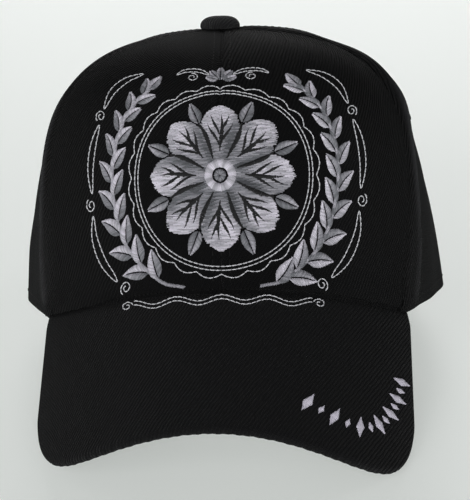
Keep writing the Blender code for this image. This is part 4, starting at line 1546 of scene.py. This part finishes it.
STEM = ((45.6, 161), (47.2, 147), (48.3, 120), (48.3, 90), (49.0, 62), (50.5, 39))


def branch(side_name, side):
    """A leafy branch that sweeps out from under the flower and up beside it."""
    line = smooth_line(turned(STEM), 300) * (side, 1.0)
    run = run_lengths(line)
    tangent = unit(np.gradient(line, axis=0))
    parts = [band(line, (0.7 * MM, 0.8 * MM, 0.4 * MM), (0.6, 0.8), 0.4)]
    for number in range(19):
        share = 0.06 + 0.90 * number / 18
        spot = along_line(share * run[-1], run, line)
        way = along_line(share * run[-1], run, tangent)
        out = -1.0 if number % 2 else 1.0
        angle = out * math.radians(40.0 - 10.0 * share)
        turn = np.array([[math.cos(angle), -math.sin(angle)], [math.sin(angle), math.cos(angle)]])
        length = (12.0 - 2.5 * share) * MM
        aim = turn @ way
        foot = spot + aim * 0.8 * MM
        tip = foot + aim * length
        if tip[1] > 0.003:
            lit = ((0.74, 1.0), (0.34, 0.74)) if out * side > 0 else ((0.34, 0.74), (0.72, 1.0))
            parts += leaf(foot, tip, -out * 1.5 * MM, (3.1 - 0.6 * share) * MM, lit)
    tip, before = line[-1], line[-12]
    aim = unit(tip - before)
    parts += leaf(tip, tip + aim * 10.0 * MM, 0.0, 2.5 * MM, ((0.7, 1.0), (0.4, 0.7)))
    joined(f"branch_{side_name}_leaves", parts, silver_thread)


def ribbon(line, widest):
    """Two outline stitched edges that part from one point and meet in another."""
    square = square_to(unit(np.gradient(line, axis=0)))
    share = run_lengths(line)[:, None] / run_lengths(line)[-1]
    half = widest * np.sin(np.pi * share) ** 0.6
    return [outline(line + square * half), outline(line - square * half)]


# The ribbons' middle lines with their half widths, and the curls' middles, radii, first turns and windings.
RIBBONS = (
    (((59.0, 131), (61.0, 121), (61.5, 111), (60.0, 103)), 1.7),
    (((59.5, 95), (60.5, 86), (60.5, 77), (60.0, 68)), 1.7),
    (((61.0, 61), (62.5, 52), (62.0, 43), (60.0, 35)), 1.7),
    (((47.0, 6), (51.0, 11), (52.5, 17), (51.5, 22)), 1.1),
)
CURLS = (
    ((57.5, 136), 2.6, 2.6, -1.4),
    ((60.5, 99), 2.8, 0.6, 1.4),
    ((61.0, 64.5), 2.8, 2.4, -1.4),
    ((47.5, 15), 2.6, 0.2, -1.4),
)


def scrolls():
    """White outline stitches outside the branches and over the flower, and a small fan above it."""
    lines = []
    for side in (1.0, -1.0):
        for controls, widest in RIBBONS:
            lines += ribbon(smooth_line(turned(controls), 160) * (side, 1.0), widest * MM)
        for middle, radius, start, turns in CURLS:
            lines.append(outline(spiral(turned([middle])[0], radius * MM, start, turns) * (side, 1.0)))
    joined("scroll_outlines", lines, white_thread)
    fan = []
    for degrees in (-70.0, -35.0, 0.0, 35.0, 70.0):
        turn = math.radians(degrees)
        way = np.array((math.sin(turn), math.cos(turn)))
        foot = np.array((0.0, 88.0)) * MM + way * 1.4 * MM
        tip = foot + way * (8.5 - 2.0 * abs(turn)) * MM
        fan += leaf(foot, tip, 0.0, 1.9 * MM, ((0.6, 1.0), (0.35, 0.7)))
    joined("fan_petals", fan, silver_thread)


# The lozenges' row round the visor's corner, in millimetres across and forward.
ROW_PATH = ((34, 54), (43, 57), (52, 58), (60, 55.5), (68, 48), (74, 37), (78, 26), (79.5, 19.5))
LOZENGES = 13


def visor_needlework():
    """A double wave of outline stitches in front of the joint, and a row of lozenges round one corner."""
    lines = []
    across = np.linspace(-36.0, 36.0, 400) * MM
    swell = 1.5 * np.cos(2.0 * np.pi * across / (18.0 * MM))
    for offset in (-3.4, -5.6):
        lines.append(outline(np.stack([across, (offset + swell) * MM], -1), surface=on_visor))
    for side in (1.0, -1.0):
        curl = spiral(np.array((39.0, -4.4)) * MM, 2.6 * MM, -1.4, 1.3) * (side, 1.0)
        lines.append(outline(curl, surface=on_visor))
    joined("visor_wave_outlines", lines, white_thread)
    path = smooth_line(np.array(ROW_PATH) * MM, 400)
    flat = np.stack([path[:, 0], joint_along(path[:, 0] / ARCH_RADIUS, 0.0) - path[:, 1]], -1)
    run = run_lengths(path)
    parts = []
    for number in range(LOZENGES):
        at = run[-1] * number / (LOZENGES - 1)
        behind, spot, ahead = (along_line(at + step, run, flat) for step in (-MM, 0.0, MM))
        square = square_to(unit(ahead - behind))
        tall, wide = (4.8 * MM, 2.2 * MM) if number % 2 == 0 else (2.2 * MM, 1.5 * MM)
        line = np.linspace(spot - square * tall, spot + square * tall, 40)
        parts.append(band(line, (0.15 * MM, wide, 0.15 * MM), (0.6, 0.95, 0.6), 0.0, 0.0005, on_visor))
    joined("visor_lozenges", parts, lilac_thread)


# The view and the light. A lamp has a name, a place, the point it aims at, its size and its power.

LAMPS = (
    ("front_left_softbox", (-1.0, -2.1, 1.0), (0.0, 0.0, 0.02), 1.5, 16.4),
    ("front_right_softbox", (1.0, -2.1, 1.0), (0.0, 0.0, 0.02), 1.5, 3.8),
    ("front_low_softbox", (0.0, -2.0, 0.4), (0.0, 0.0, 0.02), 1.2, 18.4),
    ("side_softbox", (1.5, 0.7, 0.6), (0.0, 0.0, 0.05), 0.9, 3.2),
    ("far_side_softbox", (-1.5, 0.9, 0.6), (0.0, 0.0, 0.05), 0.9, 2.0),
    ("rear_softbox", (0.0, 2.0, 0.4), (0.0, 0.1, 0.05), 1.2, 15.0),
)
WORLD_STRENGTH = 0.09


def camera_and_light():
    ahead, aside, flat = math.cos(VIEW_SWING), math.sin(VIEW_SWING), math.cos(VIEW_RAISE)
    back = Vector((aside * flat, -ahead * flat, math.sin(VIEW_RAISE)))
    right = Vector((ahead, aside, 0.0))
    up = back.cross(right)
    across = right * math.cos(VIEW_ROLL) + up * math.sin(VIEW_ROLL)
    above = up * math.cos(VIEW_ROLL) - right * math.sin(VIEW_ROLL)
    turn = Matrix((across, above, back)).transposed().to_4x4()
    data = bpy.data.cameras.new("camera")
    data.sensor_width = 36.0
    data.lens = VIEW_LENS
    data.clip_end = 20.0
    camera = bpy.data.objects.new("camera", data)
    camera.matrix_world = STANDING @ Matrix.Translation(Vector(VIEW_TARGET) + back * VIEW_DISTANCE) @ turn
    bpy.context.scene.collection.objects.link(camera)
    bpy.context.scene.camera = camera
    for name, place, aim, size, power in LAMPS:
        lamp = bpy.data.lights.new(name, "AREA")
        lamp.shape = "DISK"
        lamp.size = size
        lamp.energy = power
        holder = bpy.data.objects.new(name, lamp)
        holder.location = place
        holder.rotation_euler = (Vector(aim) - Vector(place)).to_track_quat("-Z", "Y").to_euler()
        bpy.context.scene.collection.objects.link(holder)
    world = bpy.data.worlds.new("studio")
    world.use_nodes = True
    world.node_tree.nodes["Background"].inputs["Color"].default_value = (0.80, 0.82, 0.84, 1.0)
    world.node_tree.nodes["Background"].inputs["Strength"].default_value = WORLD_STRENGTH
    bpy.context.scene.world = world
    bpy.context.scene.view_settings.view_transform = "Standard"


def studio_floor():
    grid = bmesh.new()
    bmesh.ops.create_grid(grid, x_segments=8, y_segments=8, size=6.0)
    mesh = bpy.data.meshes.new("studio_floor")
    grid.to_mesh(mesh)
    grid.free()
    mesh.materials.append(floor_skin())
    floor = bpy.data.objects.new("studio_floor", mesh)
    floor.location.z = -0.0003
    bpy.context.scene.collection.objects.link(floor)


camera_and_light()
studio_floor()
panels()
backings()
tapes()
seam_rows()
sweatband()
rim_rows()
visor()
button()
eyelets()
opening()
strap()
keep_solid("button_washer", washer_skin())
flower()
branch("left", 1.0)
branch("right", -1.0)
scrolls()
visor_needlework()
